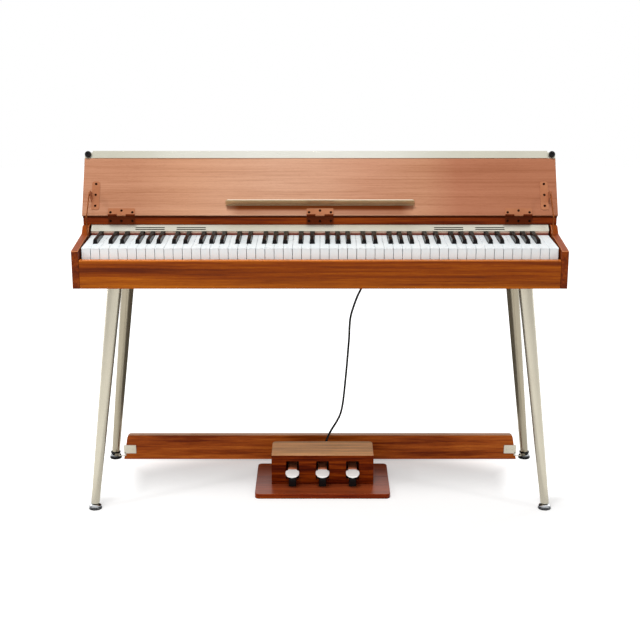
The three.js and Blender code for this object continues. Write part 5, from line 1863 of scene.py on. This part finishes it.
@dataclass
class LidStays:
    """The two folding stays that hold the lid open."""

    lid: Lid
    edge: float = 0.00025
    screw: Screw = Screw(height=0.0011)
    screw_heights: Point3 = (0.027, 0.058, 0.089)
    plate_middle: float = 0.6017
    bracket_face: float = 0.0015
    rivet_radius: float = 0.0033
    rivet_height: float = 0.0006
    arm_half: float = 0.0045

    def build(self) -> None:
        """Makes brackets, arms, screws and rivets."""
        for hand in Hand:
            dress(f"stay_bracket_{hand.name}", Finishes.hinge, "lid", self.edge, 2)
            for arm in ("upper", "lower"):
                dress(f"stay_{arm}_arm_{hand.name}", Finishes.arm, f"{arm}_arm_{hand.name}", self.edge, 2)
            seats = [
                (Vector((hand.value * self.plate_middle, self.bracket_face, up)), 0.8 * k)
                for k, up in enumerate(self.screw_heights)
            ]
            heads = self.screw.heads(seats, TO_PLAYER).moved(self.lid.frame())
            heads.piece(f"stay_bracket_{hand.name}_screws", Finishes.screw, "lid")
            self._rivet(hand)

    def _rivet(self, hand: Hand) -> None:
        """The rivet head at the elbow.

        Args:
            hand: The stay's side.
        """
        low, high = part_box(f"stay_upper_arm_{hand.name}")
        inner, radius, height = min(abs(low.x), abs(high.x)), self.rivet_radius, self.rivet_height
        profile = [(radius, -height), (radius, height * 0.3), (radius * 0.75, height * 0.85), (radius * 0.3, height)]
        elbow = Vector((hand.value * inner, low.y + self.arm_half, low.z + self.arm_half))
        draft = Draft().turned(profile, elbow, TO_TREBLE * -hand.value, 24)
        draft.piece(f"stay_elbow_rivet_{hand.name}", Finishes.hinge, f"upper_arm_{hand.name}")


@dataclass
class Legs:
    """Four round tapered legs with their plates and glides."""

    top_radius: float = 0.019
    foot_radius: float = 0.01135
    foot_ease: float = 0.0008
    top_inset: float = 0.0975
    foot_inset: float = 0.0265
    steps: int = 72
    plate_size: float = 0.084
    plate_thickness: float = 0.003
    plate_radius: float = 0.012
    screw: Screw = Screw(radius=0.0045, height=0.0018)
    screw_inset: float = 0.013
    glide_height: float = 0.0157
    glide_radius: float = 0.0175
    rim_top: float = 0.0054
    groove_depth: float = 0.0024
    groove_top: float = 0.0078
    dome_facets: int = 12
    dome_inset: float = 0.0012
    dome_power: float = 1.25
    neck_radius: float = 0.0065
    stud_radius: float = 0.004
    stud_top: float = 0.0377
    sole_height: float = 0.0034
    seam: float = 0.0001

    def build(self) -> None:
        """Makes each leg and its glide."""
        # the rear legs and glides take shaded copies of their finishes: painted shade
        rows = ("front", Finishes.leg, Finishes.glide), ("rear", Finishes.shaded_rear_leg, Finishes.shaded_glide)
        for row, tube, foot in rows:
            for hand in Hand:
                self._leg(f"{row}_{hand.name}", hand.value, tube)
                self._glide(f"{row}_{hand.name}", foot)

    def _leg(self, corner: str, side: int, finish: Finish) -> None:
        """A tapered tube, cut level at both ends, under its screwed plate.

        Args:
            corner: The leg's corner of the piano.
            side: The sign of X there.
            finish: The tube's finish.
        """
        node = f"leg_{corner}"
        low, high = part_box(node)
        cabinet_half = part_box("top_board")[1].x
        glide_low, glide_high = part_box(f"glide_{corner}")
        foot = Vector((side * (cabinet_half - self.foot_inset), (glide_low.y + glide_high.y) / 2, self.glide_height))
        half, plate_bottom = self.plate_size / 2, high.z - self.plate_thickness
        plate_y = high.y - half if corner.startswith("front") else low.y + half
        top = Vector((side * (cabinet_half - self.top_inset), plate_y, high.z))
        rings = [self._level_ring(foot, top, z) for z in (low.z, low.z + self.foot_ease, plate_bottom)]
        middle = sum(rings[0], Vector((0.0, 0.0, 0.0))) / self.steps
        rings[0] = [point + (middle - point).normalized() * self.foot_ease for point in rings[0]]
        ends = (top.x - half, top.x + half), (top.y - half, top.y + half)
        plate = rounded_sheet(*ends, self.plate_radius, self.plate_radius)
        draft = Draft().rings(rings).prism(plate, Run.Z, plate_bottom, high.z)
        draft.piece(f"tapered_leg_{corner}", finish, "root", [node])
        reach = half - self.screw_inset
        seats = [
            (Vector((top.x + x, top.y + y, plate_bottom)), x * 40) for x in (-reach, reach) for y in (-reach, reach)
        ]
        self.screw.heads(seats, DOWNWARD).piece(f"leg_plate_{corner}_screws", Finishes.chrome)

    def _level_ring(self, foot: Vector, top: Vector, z: float) -> list[Vector]:
        """The tapered tube's outline where a level plane cuts it.

        Args:
            foot, top: The axis's ends, where the radii are given.
            z: The plane's height.

        Returns:
            The ring's points.
        """
        turn, ring = (top - foot).normalized().to_track_quat("Z", "Y"), []
        for x, y in circle(self.steps):
            spoke = turn @ Vector((x, y, 0.0))
            start, end = foot + spoke * self.foot_radius, top + spoke * self.top_radius
            ring.append(start.lerp(end, (z - start.z) / (end.z - start.z)))
        return ring

    def _glide(self, corner: str, finish: Finish) -> None:
        """A chromed levelling foot on its stud, with its rubber sole.

        Args:
            corner: The glide's corner of the piano.
            finish: The foot's finish.
        """
        node = f"glide_{corner}"
        low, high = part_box(node)
        base = Vector(((low.x + high.x) / 2, (low.y + high.y) / 2, low.z))
        wide, sole, rim, ledge = self.glide_radius, self.sole_height, self.rim_top, self.groove_top
        groove = wide - self.groove_depth
        profile = [
            (groove, sole), (wide - 0.0005, sole), (wide - 0.0002, sole + 0.0004), (wide - 0.0002, rim - 0.0004),
            (wide - 0.0006, rim), (groove, rim), (groove, ledge),
        ]
        reach, rise = wide - self.dome_inset - self.neck_radius, self.glide_height - self.dome_inset - ledge
        for k in range(self.dome_facets + 1):
            angle = k / self.dome_facets * math.pi / 2
            radius = self.neck_radius + reach * math.cos(angle)
            profile.append((radius, ledge + rise * math.sin(angle) ** self.dome_power))
        profile += [
            (self.neck_radius, self.glide_height), (self.stud_radius, self.glide_height),
            (self.stud_radius, self.stud_top), (self.stud_radius * 0.3, self.stud_top),
        ]
        Draft().turned(profile, base, UPWARD).piece(f"levelling_{corner}", finish, node, [node])
        seam, core = sole - self.seam, groove + 0.0003
        profile = [
            (groove * 0.3, 0.0), (wide - 0.0006, 0.0), (wide, 0.0006), (wide, seam),
            (core, seam), (core, ledge), (groove * 0.3, ledge),
        ]
        Draft().turned(profile, base, UPWARD).piece(f"sole_{corner}", Finishes.rubber, node)


@dataclass
class Stretcher:
    """The board between the rear legs and the brackets that tie it to them."""

    edge: float = 0.0012
    plate_reach: float = 0.036
    plate_foot: float = 0.024
    plate_thickness: float = 0.002
    plate_corner: float = 0.0015
    strap_inset: Point2 = (0.006, 0.001)  # the strap's upright part, from the plate's outer end
    strap_overlap: float = 0.004
    arm_inset: float = 0.0135
    bar_height: float = 0.0018
    collar_height: float = 0.0047
    collar_radius: float = 0.0145
    collar_steps: int = 48
    screw: Screw = Screw(radius=0.0022, height=0.0006)
    screw_inset: float = 0.010
    screw_pitch: float = 0.016

    def build(self) -> None:
        """Dresses the board and makes its brackets."""
        dress("stretcher", Finishes.stretcher, edge=self.edge)
        for hand in Hand:
            self._bracket(hand)

    def _bracket(self, hand: Hand) -> None:
        """A plate on the board's face, with a strap to a black collar round the foot of the leg.

        Args:
            hand: The bracket's side.
        """
        node, metal, side = f"stretcher_bracket_{hand.name}", Finishes.plate, hand.value
        low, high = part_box(node)
        inner = side * min(abs(low.x), abs(high.x))
        outer = inner + side * self.plate_reach
        foot = sum(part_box(f"glide_rear_{hand.name}"), Vector((0.0, 0.0, 0.0))) / 2
        plate = rounded_sheet((inner, outer), (self.plate_foot, high.z), self.plate_corner, self.plate_corner)
        draft = Draft().prism(plate, Run.Y, low.y, low.y + self.plate_thickness)
        draft.piece(f"stretcher_plate_{hand.name}", metal, "root", [node], edge=0.0005)
        near, far = (outer - side * inset for inset in self.strap_inset)
        back, bar, arm = low.y + self.plate_thickness, low.z + self.bar_height, foot.x - side * self.arm_inset
        strap = Draft().block((near, low.y, low.z), (foot.x, back, bar))
        strap.block((near, low.y, low.z), (far, back, self.plate_foot + self.strap_overlap))
        strap.block((arm, low.y, low.z), (foot.x, foot.y, bar))
        strap.piece(f"stretcher_strap_{hand.name}", metal, edge=0.0004, edge_steps=2)
        radius = self.collar_radius
        ring = [(foot.x + radius * x, foot.y + radius * y) for x, y in circle(self.collar_steps)]
        collar = Draft().prism(ring, Run.Z, low.z, low.z + self.collar_height)
        collar.piece(f"stretcher_collar_{hand.name}", Finishes.rubber, edge=0.0006, edge_steps=2)
        insets = (self.screw_inset, self.screw_inset + self.screw_pitch)
        level = (self.plate_foot + high.z) / 2
        seats = [(Vector((inner + side * inset, low.y, level)), 0.5 + k) for k, inset in enumerate(insets)]
        self.screw.heads(seats, TO_PLAYER).piece(f"stretcher_plate_{hand.name}_screws", metal)


@dataclass
class PedalUnit:
    """The separate wooden box with three pedals on its base board."""

    pivots: Mapping[str, Point3]  # every joint's place, by its name
    edge: float = 0.0013
    shank_half: float = 0.0125
    shank_thickness: float = 0.006
    head_half: float = 0.01875
    head_length: float = 0.037
    head_thickness: float = 0.0031
    head_fall: float = 0.0072
    lip_fall: float = 0.0030
    flare_share: float = 0.24
    lip_share: float = 0.74
    tip_share: float = 0.45
    tip_power: float = 2.4
    stations: int = 40
    station_power: float = 0.72
    facets: int = 36
    section_powers: Point2 = (0.45, 0.62)  # how square a section is, across and up
    boss_radius: float = 0.006

    def build(self) -> None:
        """Dresses the box and makes its pedals."""
        dress("pedal_base", Finishes.pedal_board, edge=self.edge)
        dress("pedal_housing", Finishes.pedal_box, edge=self.edge)
        dress("pedal_pivot_bracket", Finishes.plastic, edge=0.0004, edge_steps=2)
        dress("pedal_buffers", Finishes.rubber, edge=0.0032, edge_steps=5)
        for name in THIRDS:
            self._pedal(name)

    def _pedal(self, name: str) -> None:
        """A cast pedal: a flat shank that widens to a rounded head bent down at its tip.

        Args:
            name: Which of the pedals.
        """
        node = f"pedal_{name}"
        low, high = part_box(node)
        x, pivot = (low.x + high.x) / 2, self.pivots[f"pedal_press_{name}"]
        rings = []
        for k in range(self.stations + 1):
            y = high.y + (low.y - high.y) * (k / self.stations) ** self.station_power
            along = (low.y + self.head_length - y) / self.head_length
            rings.append(self._section(x, y, along, pivot[Z] + self.shank_thickness / 2))
        profile = [(self.boss_radius, 0.0), (self.boss_radius, 2 * self.shank_half)]
        draft = Draft().rings(rings)
        draft.turned(profile, Vector((x - self.shank_half, pivot[Y], pivot[Z])), TO_TREBLE, 32)
        draft.piece(f"cast_pedal_{name}", Finishes.pedal, node, [node])

    def _section(self, x: float, y: float, along: float, top: float) -> list[Vector]:
        """One rounded section of a pedal.

        Args:
            x, y: Its middle.
            along: How far along the head, from 0 at its back to 1 at its tip.
            top: The level of the pedal's top face.

        Returns:
            The section's points.
        """
        half = self.shank_half + (self.head_half - self.shank_half) * smooth_step(along / self.flare_share)
        to_tip = min(max((along - self.tip_share) / (1 - self.tip_share), 0.0), 1.0)
        half = max(half * (1 - to_tip ** self.tip_power) ** (1 / self.tip_power), 0.001)
        run, lip = max(along, 0.0), max((along - self.lip_share) / (1 - self.lip_share), 0.0)
        drop = self.head_fall * run + self.lip_fall * lip ** 2
        thick = self.shank_thickness + (self.head_thickness - self.shank_thickness) * smooth_step(run * 3)
        thick *= 0.35 + 0.65 * (1 - to_tip ** 4)
        centre = top - drop - thick / 2
        ring = []
        for across, up in circle(self.facets):
            aside = math.copysign(abs(across) ** self.section_powers[0], across) * half
            raised = math.copysign(abs(up) ** self.section_powers[1], up) * thick / 2
            ring.append(Vector((x + aside, y, centre + raised)))
        return ring


def main() -> None:
    """Builds the piano and its studio."""
    logging.basicConfig(level=logging.INFO, format="%(name)s: %(message)s")
    for left_over in list(bpy.data.objects):
        bpy.data.objects.remove(left_over)
    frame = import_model()
    pivots = {joint["name"]: tuple(joint["pos_m"]) for joint in frame["joints"]}
    lid = Lid(pivots["lid_hinge"])
    for assembly in (
        Studio(), PedalLead(), Cabinet(), ControlPanel(), Keyboard(), lid, Hinges(lid), LidStays(lid), Legs(),
        Stretcher(), PedalUnit(pivots),
    ):
        assembly.build()
        log.info("%s is ready", type(assembly).__name__)


if __name__ == "__main__":
    main()
